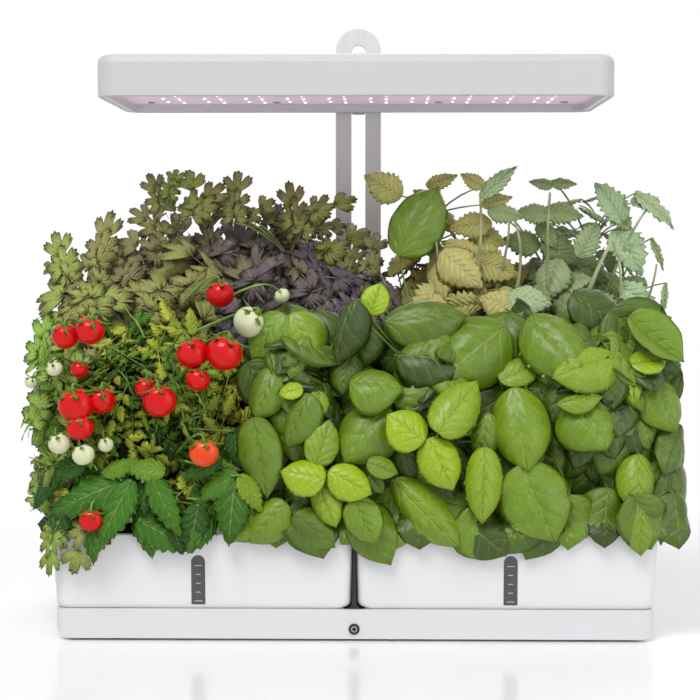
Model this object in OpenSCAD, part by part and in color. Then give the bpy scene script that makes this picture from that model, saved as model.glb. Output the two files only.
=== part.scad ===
// Countertop hydroponic garden: two slide-out water tanks on a low tray, a slotted
// mast at the back, and a grow lamp that slides on the mast above eight planted pods.
// The origin is on the table under the middle of the tray. The front looks to -Y.

/* [Tray] */
// Width of the tray
tray_w = 396; // [370:1:430]
// Depth of the tray, front to back
tray_d = 215; // [205:1:240]
// Height of the tray's top above the table
tray_h = 21; // [19:0.5:30]
// Wall thickness of the tray
tray_wall = 2.4; // [1.6:0.1:3.2]
// Radius of the tray's long lower edges
tray_edge_r = 9; // [5:0.5:12]
// Radius of the tray's upright corners
tray_corner_r = 6; // [3:0.5:12]
// Height of the rubber feet
foot_h = 1.6; // [1:0.1:4]
// Radius of the rubber feet
foot_r = 8; // [5:0.5:12]
// Thickness of the bottom cover
cover_t = 2; // [1.2:0.1:3]

/* [Power button and inlet] */
// Radius of the power button
button_r = 3.6; // [3:0.1:4]
// Height of the button's centre above the table
button_z = 8.2; // [8:0.1:10]
// How far the button stands proud of the tray
button_proud = 0.9; // [0.5:0.1:2]
// Radius of the power inlet's barrel
inlet_r = 4; // [3.5:0.1:4.5]
// Distance of the power inlet from the middle
inlet_x = 70; // [40:1:150]

/* [Tanks] */
// How far each rim stands out past the side of the tray
tank_overhang = 2.8; // [1:0.1:6]
// Gap between the tanks and the mast's foot behind them
foot_gap = 6; // [2:0.5:14]
// Height of a tank
tank_h = 50; // [46:0.5:70]
// How far a tank's walls lean in from its rim to its base
tank_draft = 2.6; // [1:0.1:4]
// How far the walls beside the divider lean in
inner_draft = 1; // [0.5:0.1:2]
// Gap between the two rims
rim_gap = 1.6; // [1.4:0.1:3]
// Wall thickness of the tanks
tank_wall = 2.4; // [1.6:0.1:3]
// Radius of a tank's upright corners
tank_corner_r = 7; // [4:0.5:12]
// Depth of the planting deck below the rim
deck_drop = 5; // [3:0.5:8]
// Thickness of the planting deck
deck_t = 3; // [2:0.5:4]
// Clearance around the planting deck
deck_gap = 0.5; // [0.3:0.1:1]
// Radius of the filling hole
fill_r = 11; // [8:0.5:14]

/* [Level windows] */
// Width of a window
window_w = 9; // [7:0.5:12]
// Height of a window
window_h = 33; // [24:1:36]
// Height of a window's foot above the tank's base
window_lift = 2.8; // [2.6:0.1:6]
// Distance of a window from the middle of its tank
window_shift = 2.4; // [0:0.1:10]
// Width of the lip around the window's neck
window_lip = 1.8; // [1:0.1:2.4]
// Thickness of that lip
window_lip_t = 0.8; // [0.5:0.1:0.9]
// Thickness of the seal behind the lip
seal_t = 0.5; // [0.3:0.1:0.6]

/* [Pods] */
// Spacing of the pods across a tank
pod_pitch_x = 98; // [80:1:110]
// Spacing of the pods front to back
pod_pitch_y = 92; // [80:1:100]
// Radius of the pod holes in the deck
pod_r = 21; // [18:0.5:24]
// Width of the basket's flange outside its hole
pod_flange = 3; // [2:0.5:5]
// Thickness of the basket's walls
basket_wall = 1.4; // [1:0.1:2]
// Depth of a basket below the deck
basket_depth = 36; // [30:1:38]
// How much narrower a basket is at its base
basket_taper = 5; // [2:0.5:6]
// Radius of the growing sponge
sponge_r = 13; // [10:0.5:13.5]

/* [Mast] */
// Height of the mast's top above the table
mast_top = 424.5; // [400:1:520]
// Width of each leg of the mast
mast_leg_w = 11.8; // [9:0.1:16]
// Width of the slot between the legs
mast_slot_w = 10.6; // [9:0.1:14]
// Thickness of the mast, front to back
mast_t = 8; // [7:0.5:10]
// Width of the mast's foot
mast_foot_w = 58; // [52:1:80]
// Height of the mast's foot above the tray
mast_foot_h = 44; // [30:1:48]
// Depth of the mast's foot
mast_foot_d = 20; // [18:0.5:22]

/* [Lamp] */
// Width of the lamp
lamp_w = 350; // [300:1:380]
// Depth of the lamp
lamp_d = 160; // [130:1:165]
// Height of the lamp's housing
lamp_h = 28.7; // [26:0.1:36]
// How far the mast's top stands above the lamp
mast_above_lamp = 34.5; // [30:0.5:36]
// Radius of the lamp's upright corners
lamp_corner_r = 15; // [8:0.5:24]
// Radius of the lamp's top edge
lamp_edge_r = 5.5; // [2:0.5:8]
// Wall thickness of the lamp's housing
lamp_wall = 2.5; // [1.6:0.1:3]
// Width of the lamp's underside rim
lamp_rim = 6; // [5:0.5:10]
// How deep the LED panel lies inside the rim
panel_recess = 5.8; // [4:0.1:8]
// Thickness of the LED panel
panel_t = 1.6; // [1:0.1:2.5]
// Number of LED columns
led_cols = 10; // [4:1:12]
// Number of LED rows
led_rows = 4; // [2:1:5]
// Distance of the outer LED columns from the lamp's sides
led_edge_x = 40; // [24:1:60]
// Distance of the outer LED rows from the lamp's front and back
led_edge_y = 32; // [22:1:40]
// Width of one LED
led_size = 3.4; // [2:0.1:5]
// Radius of the clamp knob
knob_r = 11; // [9:0.5:13]
// Length of the clamp knob
knob_l = 11; // [8:0.5:16]

/* [Plants] */
// Height of the tomato plant's top above the table
tomato_top = 214; // [180:1:240]
// Height of the basil's top above the table
basil_top = 226; // [180:1:250]
// Height of the parsley's top above the table
parsley_top = 308; // [250:1:318]
// Height of the mint's top above the table
mint_top = 318; // [250:1:320]
// How far the tomato spreads into its neighbour's place
tomato_spread = 24; // [0:1:30]
// How far leaves reach past the sides of the tray
leaf_reach_x = 33; // [10:1:40]
// How far leaves reach past its front and back
leaf_reach_y = 19.5; // [10:0.5:30]
// How far leaves hang below the rims
leaf_drape = 26; // [5:1:34]
// Length of a large basil leaf
basil_leaf = 58; // [40:1:70]
// Length of a mint leaf
mint_leaf = 42; // [25:1:50]
// Length of a parsley leaf
parsley_leaf = 40; // [25:1:50]
// Length of a tomato leaflet
tomato_leaf = 36; // [20:1:44]

/* [Hidden] */
PODS = [1 : 8];
$fn = 48;

// Clearances
seat = 0.2;          // under a part that rests on another and lifts or slides off
running = 0.3;       // beside a part that slides
push_fit = 0.1;      // around a part that is pressed or screwed in for good
shaft_fit = 0.05;    // around a turning or sliding shaft
eps = 0.01;

// Colours
white_plastic = [0.91, 0.91, 0.92];
black_plastic = [0.06, 0.06, 0.07];
mast_grey = [0.78, 0.78, 0.80];
steel = [0.62, 0.62, 0.64];
copper = [0.80, 0.48, 0.28];

// Tray and table levels
tray_front = -tray_d / 2;
tray_back = tray_d / 2;
cover_inset_x = tray_edge_r + 1.5;
cover_inset_y = tray_wall + 0.6;
cover_w = tray_w - 2 * cover_inset_x;
cover_d = tray_d - 2 * cover_inset_y;
cover_top = foot_h + cover_t;
tray_roof = tray_h - tray_wall;     // underside of the tray's top
mast_inset = 1;                     // from the tray's back edge to the mast's foot
boss_r = 4;
screw_r = 1.4;
screw_head_r = 2.8;
screw_head_h = 1.4;
cover_screw_x = cover_w / 2 - 14;
cover_screw_y = cover_d / 2 - 10;
foot_x = cover_screw_x - foot_r - 8;
foot_y = cover_d / 2 - foot_r - 2;

// Tanks, worked out for the right-hand one
tank_z = tray_h + seat;
rim_z = tank_z + tank_h;
tank_in = rim_gap / 2;
tank_out = tray_w / 2 + tank_overhang;
tank_front = tray_front;
tank_back = tray_back - mast_inset - mast_foot_d - foot_gap;
bay_x = (tank_in + tank_out) / 2;
bay_y = (tank_front + tank_back) / 2;
base_round = 1.6;                   // rounding of a tank's lower edges
throat_w = 6;                       // wider rounding beside the divider
throat_h = 4;
rim_round = 0.9;
deck_z = rim_z - deck_drop - deck_t;
deck_lean = tank_draft * (deck_drop + deck_t) / tank_h;
rib_l = 7;
rib_t = 3;

// Divider
divider_top_z = rim_z - 1.5;
divider_lean = inner_draft * (rim_z - divider_top_z) / tank_h;
divider_top = tank_in + divider_lean - running;
divider_low = tank_in + inner_draft - running;
divider_foot_h = throat_h - running;
peg_r = 1;
peg_l = 2;
divider_back = tray_back - mast_inset - mast_foot_d - seat - push_fit;

// Level windows, in a frame that leans with the tank's front
lean = atan(tank_draft / tank_h);
window_x = bay_x + window_shift;
window_gap = 0.15;
window_recess = window_lip_t + seal_t + push_fit;

// Pods
basket_r = pod_r - running;
basket_low_r = basket_r - basket_taper;
basket_flange_t = 1.6;
basket_floor_z = deck_z + deck_t - basket_depth;
sponge_z = basket_floor_z + basket_wall + seat;
sponge_top = deck_z + deck_t - 1;
plant_z = sponge_top + running;

// Button and board
button_back = tray_front + cover_inset_y + seat + 1.2;
switch_l = 4.5;
plunger_l = 0.6;
board_y = button_back + 0.9 + plunger_l + switch_l;
board_t = 1.6;

// Mast
mast_y = tray_back - mast_inset - mast_foot_d / 2;
mast_out_r = mast_slot_w / 2 + mast_leg_w;
arch_z = mast_top - mast_out_r;
foot_z = tray_h;
mast_base_z = tray_h + 4;
rail_w = 3;
rail_t = 1;
rail_low_z = foot_z + mast_foot_h + 4;
rail_high_z = arch_z - 3;
leg_x = mast_slot_w / 2 + mast_leg_w / 2;
lead_r = 1.5;

// Lamp
lamp_top_z = mast_top - mast_above_lamp;
lamp_z = lamp_top_z - lamp_h;
bracket_t = 1.6;
lamp_back = mast_y - mast_t / 2 - bracket_t - 2 * seat;
lamp_y = lamp_back - lamp_d / 2;
panel_z = lamp_z + panel_recess;
led_t = 0.8;
led_pitch_x = (lamp_w - 2 * led_edge_x) / (led_cols - 1);
led_pitch_y = (lamp_d - 2 * led_edge_y) / (led_rows - 1);
tongue_w = mast_slot_w - 2 * running;
tongue_low_z = lamp_z - 1;
tongue_high_z = arch_z - 1;
tongue_back = mast_y + mast_t / 2 - 0.1;
clamp_z = lamp_z + lamp_h / 2;
clamp_front = mast_y + mast_t / 2 + seat;
clamp_t = 3;
stud_r = 2.5;
stud_l = 7;
bracket_screw_x = 15;
bracket_screw_z = [clamp_z - 2, clamp_z + 8];
brush_h = 14;
brush_w = 2.4;
brush_t = 1.3;
brush_proud = 0.15;
panel_edge = lamp_corner_r + 7;      // from the lamp's sides to the outer panel screws
panel_screw_x = [-lamp_w / 2 + panel_edge, -2 * led_pitch_x, 2 * led_pitch_x,
                 lamp_w / 2 - panel_edge];
panel_screw_y = [-lamp_d / 2 + panel_edge - 4, lamp_d / 2 - panel_edge - 8];

// Plants
golden = 137.5;
foliage_x = tray_w / 2 + leaf_reach_x;
foliage_y = tray_d / 2 + leaf_reach_y;
drape_z = rim_z - leaf_drape;
mid_gap = 0.6;                      // each side of the line between two plants
crown_margin = 5;                   // from a crown's leaf places to the edge of its room
leaf_off = 1.4;                     // from a leaf to the tank beside it

function lerp(a, b, t) = a + (b - a) * t;
function pod_side(i) = i <= 4 ? -1 : 1;
function pod_outer(i) = (i == 1 || i == 3 || i == 6 || i == 8) ? 1 : -1;
function pod_row(i) = (i == 3 || i == 4 || i >= 7) ? 1 : -1;
function pod_pos(i) = [
    pod_side(i) * (bay_x + pod_outer(i) * pod_pitch_x / 2),
    bay_y + pod_row(i) * pod_pitch_y / 2];
function unit(v) = v / norm(v);

// ---- shared shapes

module round_rect(w, d, r) {
    square([w - 2 * r, d], center = true);
    square([w, d - 2 * r], center = true);
    for (sx = [-1, 1], sy = [-1, 1])
        translate([sx * (w / 2 - r), sy * (d / 2 - r)]) circle(r);
}

// A thin level slice between two corners, for hulls
module slice(x0, x1, y0, y1, z, r) {
    translate([(x0 + x1) / 2, (y0 + y1) / 2, z])
        linear_extrude(eps) round_rect(x1 - x0, y1 - y0, r, $fn = 32);
}

// A bar along Y with its centre at x, z
module along_y(x, y0, y1, z) {
    translate([x, y1, z]) rotate([90, 0, 0]) linear_extrude(y1 - y0) children();
}

module screw(length, head_r = screw_head_r) {
    cylinder(r = head_r, h = screw_head_h);
    translate([0, 0, screw_head_h]) cylinder(r = screw_r, h = length);
}

module both_sides() {
    children();
    mirror([1, 0, 0]) children();
}

// ---- tray

module tray_profile() difference() {
    translate([-tray_w / 2, foot_h]) square([tray_w, tray_h - foot_h]);
    both_sides() translate([tray_w / 2 - tray_edge_r, foot_h + tray_edge_r]) difference() {
        translate([0, -tray_edge_r - 1]) square(tray_edge_r + 1);
        circle(tray_edge_r);
    }
}

module each_cover_screw() {
    for (x = [-cover_screw_x, -55, 55, cover_screw_x], sy = [-1, 1])
        translate([x, sy * cover_screw_y, 0]) children();
}

module cover_bosses(r) {
    each_cover_screw() cylinder(r = r, h = tray_h);
}

module each_peg() { for (y = [tray_front + 25, 0]) translate([0, y, 0]) children(); }

module base_tray() color(white_plastic) {
    difference() {
        intersection() {
            translate([0, 0, foot_h])
                linear_extrude(tray_h - foot_h) round_rect(tray_w, tray_d, tray_corner_r);
            along_y(0, tray_front - 1, tray_back + 1, 0) tray_profile();
        }
        difference() {
            union() {
                translate([-cover_w / 2, -cover_d / 2, foot_h - 1])
                    cube([cover_w, cover_d, tray_roof - foot_h + 1]);
                translate([-tray_w / 2 + tray_wall, -cover_d / 2, foot_h + tray_edge_r])
                    cube([tray_w - 2 * tray_wall, cover_d, tray_roof - foot_h - tray_edge_r]);
            }
            intersection() {
                cover_bosses(boss_r);
                translate([-tray_w / 2, -tray_d / 2, cover_top + push_fit])
                    cube([tray_w, tray_d, tray_h]);
            }
        }
        intersection() {
            cover_bosses(screw_r);
            cube([tray_w, tray_d, 2 * (tray_roof - 1)], center = true);
        }
        along_y(0, tray_front - 1, tray_front + 6, button_z) circle(button_r + shaft_fit);
        along_y(inlet_x, tray_back - 6, tray_back + 1, tray_h / 2) circle(inlet_r + push_fit);
        translate([0, mast_y, tray_roof - 1]) cylinder(r = lead_r + 1, h = tray_wall + 2);
        both_sides() translate([mast_foot_w / 2 - 6, mast_y, tray_roof - 1])
            cylinder(r = screw_r + push_fit, h = tray_wall + 2);
        each_peg() translate([0, 0, tray_h - peg_l - push_fit])
            cylinder(r = peg_r + push_fit, h = peg_l + 1);
    }
}

module bottom_cover() color(white_plastic) difference() {
    translate([-cover_w / 2 + push_fit, -cover_d / 2 + push_fit, foot_h])
        cube([cover_w - 2 * push_fit, cover_d - 2 * push_fit, cover_t]);
    cover_bosses(screw_r + push_fit);
    intersection() {
        cover_bosses(screw_head_r + push_fit);
        cube([tray_w, tray_d, 2 * (foot_h + screw_head_h + push_fit)], center = true);
    }
    for (k = [-3 : 3]) translate([k * 8 - 1.5, cover_d / 2 - 60, 0]) cube([3, 26, tray_h]);
}

module rubber_feet() color(black_plastic)
    for (sx = [-1, 1], sy = [-1, 1]) translate([sx * foot_x, sy * foot_y, 0])
        rotate_extrude() polygon([[0, 0], [foot_r - 1, 0], [foot_r, foot_h], [0, foot_h]]);

module bottom_screws() color(steel)
    each_cover_screw() translate([0, 0, foot_h]) screw(8);

module power_button() color(black_plastic) {
    along_y(0, tray_front - button_proud, button_back, button_z) circle(button_r);
    along_y(0, button_back - 1.2, button_back, button_z) circle(button_r + 0.9);
}

// Stands behind the button on the bottom cover, its switch facing the button
module control_board() color([0.05, 0.30, 0.16]) {
    board_z = cover_top + seat;
    board_h = tray_roof - board_z - 1;
    translate([-38, board_y, board_z]) cube([76, board_t, board_h]);
    translate([-3, board_y - switch_l, button_z - 3]) cube([6, switch_l, 6]);
    along_y(0, board_y - switch_l - plunger_l, board_y, button_z) circle(1.6);
    for (x = [-26, -14, 18]) translate([x, board_y + board_t, board_z + 2]) cube([8, 2.4, 6]);
    along_y(30, board_y, board_y + 5, board_z + 5) circle(3.5);
}

module dc_inlet() color(black_plastic) difference() {
    union() {
        along_y(inlet_x, tray_back - 14, tray_back + seat, tray_h / 2) circle(inlet_r);
        along_y(inlet_x, tray_back, tray_back + 1.4, tray_h / 2) circle(inlet_r + 2);
    }
    difference() {
        along_y(inlet_x, tray_back - 10, tray_back + 2, tray_h / 2) circle(2.8);
        along_y(inlet_x, tray_back - 11, tray_back - 0.5, tray_h / 2) circle(1);
    }
}

// ---- divider between the tanks, with the flared foot that fills their rounded edges

module centre_divider() color(black_plastic) {
    foot = tank_in + inner_draft + throat_w - 1;
    bend = [for (a = [0 : 18 : 90])
        [foot - (foot - divider_low) * sin(a), tray_h + divider_foot_h * (1 - cos(a))]];
    half = concat(bend, [[divider_top, divider_top_z]]);
    other = [for (k = [len(half) - 1 : -1 : 0]) [-half[k][0], half[k][1]]];
    along_y(0, tray_front + tank_draft + 0.4, divider_back, 0) polygon(concat(half, other));
    each_peg() translate([0, 0, tray_h - peg_l]) cylinder(r = peg_r, h = peg_l + 1);
}

// ---- mast and its foot

module mast_outline(grow = 0) {
    translate([0, arch_z]) circle(mast_out_r + grow);
    translate([-mast_out_r - grow, mast_base_z - grow])
        square([2 * (mast_out_r + grow), arch_z - mast_base_z + grow]);
}

module mast() color(mast_grey) difference() {
    along_y(0, mast_y - mast_t / 2, mast_y + mast_t / 2, 0) difference() {
        mast_outline();
        translate([0, arch_z]) circle(mast_slot_w / 2);
        translate([-mast_slot_w / 2, mast_base_z - 1])
            square([mast_slot_w, arch_z - mast_base_z + 1]);
    }
    both_sides() translate([mast_slot_w / 2 - 1, mast_y - rail_w / 2, rail_low_z])
        cube([1 + rail_t, rail_w, rail_high_z - rail_low_z]);
    both_sides() along_y(leg_x, mast_y, mast_y + mast_t, foot_z + mast_foot_h / 2)
        circle(screw_r);
}

module mast_foot() color(white_plastic) difference() {
    translate([0, mast_y, foot_z])
        linear_extrude(mast_foot_h) round_rect(mast_foot_w, mast_foot_d, 3);
    intersection() {
        along_y(0, mast_y - mast_t / 2 - push_fit, mast_y + mast_t / 2 + push_fit, 0)
            difference() {
                mast_outline(push_fit);
                translate([-mast_slot_w / 2 + push_fit, mast_base_z + 6])
                    square([mast_slot_w - 2 * push_fit, arch_z]);
            }
        cube([mast_foot_w, tray_d * 2, 4 * tray_h + 2 * mast_foot_h], center = true);
    }
    translate([0, mast_y, foot_z - 1]) cylinder(r = lead_r + 0.5, h = mast_foot_h + 2);
    both_sides() along_y(leg_x, mast_y, mast_y + mast_foot_d, foot_z + mast_foot_h / 2)
        circle(screw_r + push_fit);
    both_sides() along_y(leg_x, mast_y + mast_foot_d / 2 - screw_head_h - push_fit,
        mast_y + mast_foot_d, foot_z + mast_foot_h / 2) circle(screw_head_r + push_fit);
    both_sides() translate([mast_foot_w / 2 - 6, mast_y, foot_z - 1])
        cylinder(r = screw_r, h = 12);
}

module mast_screws() color(steel) both_sides() {
    translate([leg_x, mast_y + mast_foot_d / 2, foot_z + mast_foot_h / 2])
        rotate([90, 0, 0]) screw(mast_foot_d / 2 - screw_head_h - 1);
    translate([mast_foot_w / 2 - 6, mast_y, tray_roof - screw_head_h]) screw(10);
}

module contact_rails() color(copper) both_sides()
    translate([mast_slot_w / 2, mast_y - rail_w / 2, rail_low_z])
        cube([rail_t, rail_w, rail_high_z - rail_low_z]);

// Two-core lead inside the tray, from the board to the foot of the rails
module mast_lead() color(black_plastic) {
    lead_z = tray_roof - lead_r - 0.5;
    start_y = board_y + board_t + seat;
    along_y(0, start_y, mast_y, lead_z) circle(lead_r);
    translate([0, mast_y, lead_z]) sphere(lead_r);
    translate([0, mast_y, lead_z]) cylinder(r = lead_r, h = rail_low_z - lead_z - 1);
    translate([0, mast_y, rail_low_z]) rotate([0, 90, 0])
        cylinder(r = rail_w / 2 - 0.1, h = mast_slot_w - 2 * push_fit, center = true);
}

// ---- tanks

// One level of a tank's body. Low levels draw in, more so beside the divider.
module tank_level(z, inset, t = 0, round = base_round) {
    lean_in = inner_draft * (rim_z - z) / tank_h;
    lean_out = tank_draft * (rim_z - z) / tank_h;
    slice(tank_in + lean_in + inset + throat_w * t, tank_out - lean_out - inset - round * t,
        tank_front + lean_out + inset + round * t,
        tank_back - lean_out - inset - round * t, z, tank_corner_r - inset / 2);
}

module tank_body() {
    hull() {
        for (a = [0 : 22.5 : 90])
            tank_level(tank_z + throat_h * (1 - sin(a)), 0, 1 - cos(a));
        tank_level(rim_z - rim_round, 0);
        tank_level(rim_z - eps, rim_round);
    }
}

module tank_cavity() {
    hull() {
        tank_level(tank_z + tank_wall, tank_wall, 0.9, 0);
        tank_level(tank_z + tank_wall + throat_h, tank_wall);
        tank_level(rim_z + 1, tank_wall);
    }
}

// Upright ribs that carry the deck
module deck_ribs() {
    rib_in = tank_in + inner_draft + tank_wall - 0.6;
    rib_out = tank_out - tank_draft - tank_wall + 0.6;
    for (y = [tank_front + 30, tank_back - 30]) {
        translate([rib_in, y, tank_z + tank_wall])
            cube([rib_l, rib_t, deck_z - seat - tank_z - tank_wall]);
        translate([rib_out - rib_l, y, tank_z + tank_wall])
            cube([rib_l, rib_t, deck_z - seat - tank_z - tank_wall]);
    }
}

// Where a window stands: up the leaning front of the tank, with +Y going inwards
module at_window() {
    low = window_lift;
    translate([window_x, tank_front + tank_draft * (tank_h - low) / tank_h, tank_z + low])
        rotate([lean, 0, 0]) children();
}

module window_outline(grow = 0) {
    w = window_w + 2 * grow;
    translate([-w / 2, -grow]) square([w, window_h + 2 * grow - w / 2]);
    translate([0, window_h + grow - w / 2]) circle(w / 2);
}

module window_layer(y0, y1, grow = 0) {
    translate([0, y1, 0]) rotate([90, 0, 0]) linear_extrude(y1 - y0) window_outline(grow);
}

module tank() color(white_plastic) {
    difference() {
        tank_body();
        tank_cavity();
        at_window() window_layer(-2, window_recess, window_gap);
        at_window() window_layer(0, tank_wall + 2, window_gap - window_lip);
    }
    deck_ribs();
}

module window_glass() color([0.25, 0.25, 0.26]) at_window() {
    window_layer(0, window_lip_t);
    window_layer(window_lip_t - eps, tank_wall - push_fit, -window_lip);
}

module window_seal() color([0.12, 0.12, 0.12]) at_window() difference() {
    window_layer(window_recess - seal_t - push_fit / 2, window_recess - push_fit / 2, 0);
    window_layer(0, tank_wall, window_gap - window_lip);
}

// ---- deck, baskets and sponges

module deck(side) color(white_plastic) difference() {
    inset = tank_wall + deck_gap;
    x0 = tank_in + inner_draft * (deck_drop + deck_t) / tank_h + inset;
    x1 = tank_out - deck_lean - inset;
    y0 = tank_front + deck_lean + inset;
    y1 = tank_back - deck_lean - inset;
    translate([side * (x0 + x1) / 2, (y0 + y1) / 2, deck_z])
        linear_extrude(deck_t) round_rect(x1 - x0, y1 - y0, tank_corner_r - tank_wall / 2);
    for (i = PODS) if (pod_side(i) == side) translate([pod_pos(i)[0], pod_pos(i)[1], 0])
        cylinder(r = pod_r, h = rim_z);
    translate([side * bay_x, bay_y, 0]) cylinder(r = fill_r, h = rim_z);
}

module at_pod(i) { translate([pod_pos(i)[0], pod_pos(i)[1], 0]) children(); }

module basket(i) color([0.10, 0.10, 0.11]) at_pod(i) {
    low = basket_floor_z;
    top = deck_z + deck_t + seat;
    difference() {
        rotate_extrude() polygon([
            [0, low], [basket_low_r, low], [basket_r, top], [pod_r + pod_flange, top],
            [pod_r + pod_flange, top + basket_flange_t],
            [basket_r - basket_wall, top + basket_flange_t],
            [basket_low_r - basket_wall, low + basket_wall], [0, low + basket_wall]]);
        for (a = [0 : 45 : 135]) rotate(a)
            translate([-pod_r - 5, -1.5, low + 5]) cube([2 * pod_r + 10, 3, basket_depth - 14]);
        translate([0, 0, low - 1]) cylinder(r = 5, h = basket_wall + 2);
    }
}

module sponge(i) color([0.16, 0.13, 0.11]) at_pod(i) difference() {
    translate([0, 0, sponge_z]) rotate_extrude() polygon([
        [0, 0], [sponge_r - 2, 0], [sponge_r, 4], [sponge_r, sponge_top - sponge_z - 1.5],
        [sponge_r - 1.5, sponge_top - sponge_z], [0, sponge_top - sponge_z]]);
    translate([-sponge_r - 1, 5, sponge_top - 8]) cube([2 * sponge_r + 2, 1, 9]);
}

// ---- plants

// The ends of one plant's place, across and front to back
function room_split(i) =
    pod_side(i) * bay_x + (pod_row(i) < 0 && pod_side(i) < 0 ? tomato_spread : 0);
function room_x(i) = pod_outer(i) > 0
    ? [room_split(i) + pod_side(i) * mid_gap, pod_side(i) * foliage_x]
    : [pod_side(i) * mid_gap, room_split(i) - pod_side(i) * mid_gap];
function room_y(i) = pod_row(i) < 0 ? [-foliage_y, bay_y - mid_gap] : [bay_y + mid_gap, foliage_y];
function middle(ends) = (ends[0] + ends[1]) / 2;
function half(ends) = abs(ends[1] - ends[0]) / 2;

// The room that one plant's leaves may fill, clear of tanks, mast and neighbours
module leaf_room(x0, x1, y0, y1) difference() {
    translate([x0, y0, drape_z]) cube([x1 - x0, y1 - y0, mast_top - drape_z]);
    low = tank_front - leaf_off;
    translate([-tank_out - leaf_off, low, 0])
        cube([2 * (tank_out + leaf_off), tray_back + leaf_off - low, rim_z + leaf_off]);
    translate([-mast_foot_w / 2 - leaf_off, tray_back - mast_foot_d - 2 - leaf_off, 0])
        cube([mast_foot_w + 2 * leaf_off, mast_foot_d + leaf_reach_y + 10, mast_top]);
}

module pod_room(i) {
    x = room_x(i);
    y = room_y(i);
    leaf_room(min(x), max(x), y[0], y[1]);
}

// A three-sided stem between two points
module rod(p, q, r0, r1) {
    d = unit(q - p);
    side = unit(cross(d, abs(d[2]) > 0.9 ? [1, 0, 0] : [0, 0, 1]));
    up = cross(side, d);
    ring = [for (a = [0 : 120 : 240]) cos(a) * side + sin(a) * up];
    hull() polyhedron(
        points = concat([for (v = ring) p + r0 * v], [for (v = ring) q + r1 * v]),
        faces = [[2, 1, 0], [3, 4, 5], [0, 1, 4, 3], [1, 2, 5, 4], [2, 0, 3, 5]]);
}

// A leaf blade from its foot towards u, domed towards n
module blade(foot, u, n, length, width, t = 2.4) {
    v = cross(n, u);
    dome = width * 0.16;
    sag = width * 0.06;
    at = [[0, 0, 0], [0.33, 0.5, -sag], [0.72, 0.36, -sag], [1, 0, -sag * 1.5],
          [0.72, -0.36, -sag], [0.33, -0.5, -sag], [0.3, 0, dome], [0.68, 0, dome * 0.8],
          [0.5, 0, dome - t]];
    polyhedron(
        points = [for (p = at) foot + length * p[0] * u + width * p[1] * v + p[2] * n],
        faces = [[0, 1, 6], [1, 2, 7], [1, 7, 6], [2, 3, 7], [3, 4, 7], [4, 5, 7], [5, 6, 7],
                 [5, 0, 6], [1, 0, 8], [2, 1, 8], [3, 2, 8], [4, 3, 8], [5, 4, 8], [0, 5, 8]]);
}

// A small pointed lobe or leaflet, six-cornered
module lobe(foot, u, n, length, width, t = 1.6) {
    v = cross(n, u);
    at = [[0, 0, 0], [0.55, 0.5, 0], [1, 0, 0], [0.55, -0.5, 0]];
    flat = [for (p = at) foot + length * p[0] * u + width * p[1] * v];
    middle = foot + 0.5 * length * u;
    polyhedron(points = concat(flat, [middle + t * n, middle - t * n]),
        faces = [[0, 1, 4], [1, 2, 4], [2, 3, 4], [3, 0, 4],
                 [1, 0, 5], [2, 1, 5], [3, 2, 5], [0, 3, 5]]);
}

// Leaf places on a round crown follow the golden angle, from low to high
function out_dir(a, e) = [cos(e) * cos(a), cos(e) * sin(a), sin(e)];
function down_dir(a, e) = [sin(e) * cos(a), sin(e) * sin(a), -cos(e)];
function crown_height(k, n, low, high) = lerp(low, high, (k + 0.5) / n);
function outside_tanks(p) = p[1] < tank_front - 5 || abs(p[0]) > tank_out + 5;

// The main stem, straight up from the sponge
module trunk(i, top_z, r) {
    p = pod_pos(i);
    rod([p[0], p[1], plant_z], [p[0], p[1], top_z], r, r * 0.7);
}

// Basil: broad domed leaves that hang outwards all over a round crown
module basil(i, count) color([0.22, 0.46, 0.12]) {
    pod = pod_pos(i);
    reach = [half(room_x(i)) - crown_margin, half(room_y(i)) - 3.5 * crown_margin];
    mid = [middle(room_x(i)), crown_margin + reach[1] - foliage_y];
    low_z = drape_z + 4;
    mid_z = (low_z + basil_top) / 2;
    trunk(i, mid_z + 20, 3);
    intersection() {
        pod_room(i);
        union() for (k = [0 : count - 1]) {
            a = k * golden;
            e = crown_height(k, count, -34, 84);
            n = out_dir(a, max(e, 2));
            u = down_dir(a, max(e, 2));
            size = basil_leaf * lerp(1, 0.74, abs(sin(k * 77)));
            free = [mid[0] + reach[0] * cos(e) * cos(a), mid[1] + reach[1] * cos(e) * sin(a),
                    mid_z + (basil_top - mid_z - 5) * sin(e)];
            place = outside_tanks(free) ? free
                : [free[0], free[1], max(free[2], rim_z + 0.6 * size * cos(e) + 4)];
            foot = place - 0.45 * size * u - 4 * n;
            blade(foot, u, n, size, size * 0.74, 3);
            rod([pod[0], pod[1], max(plant_z + 12, min(foot[2] - 12, mid_z + 18))],
                foot + 5 * u + 1.2 * n, 1.8, 1.5);
        }
    }
}

// Tomato: arching leaves of three leaflets, with fruit hung among them. Each fruit
// has its place from the pod, its height above the table and its radius.
tomato_fruit = [
    [-18, -48, 201, 9.5], [-1, -50, 204, 10], [43, -46, 190, 11], [62, -50, 190, 12],
    [21, -54, 157, 11], [-35, -52, 156, 12], [-17, -46, 160, 9], [-31, -54, 141, 9.5],
    [51, -56, 123, 10], [-25, -60, 77, 8], [-45, -50, 131, 7], [-32, -54, 122, 7]];

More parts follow.
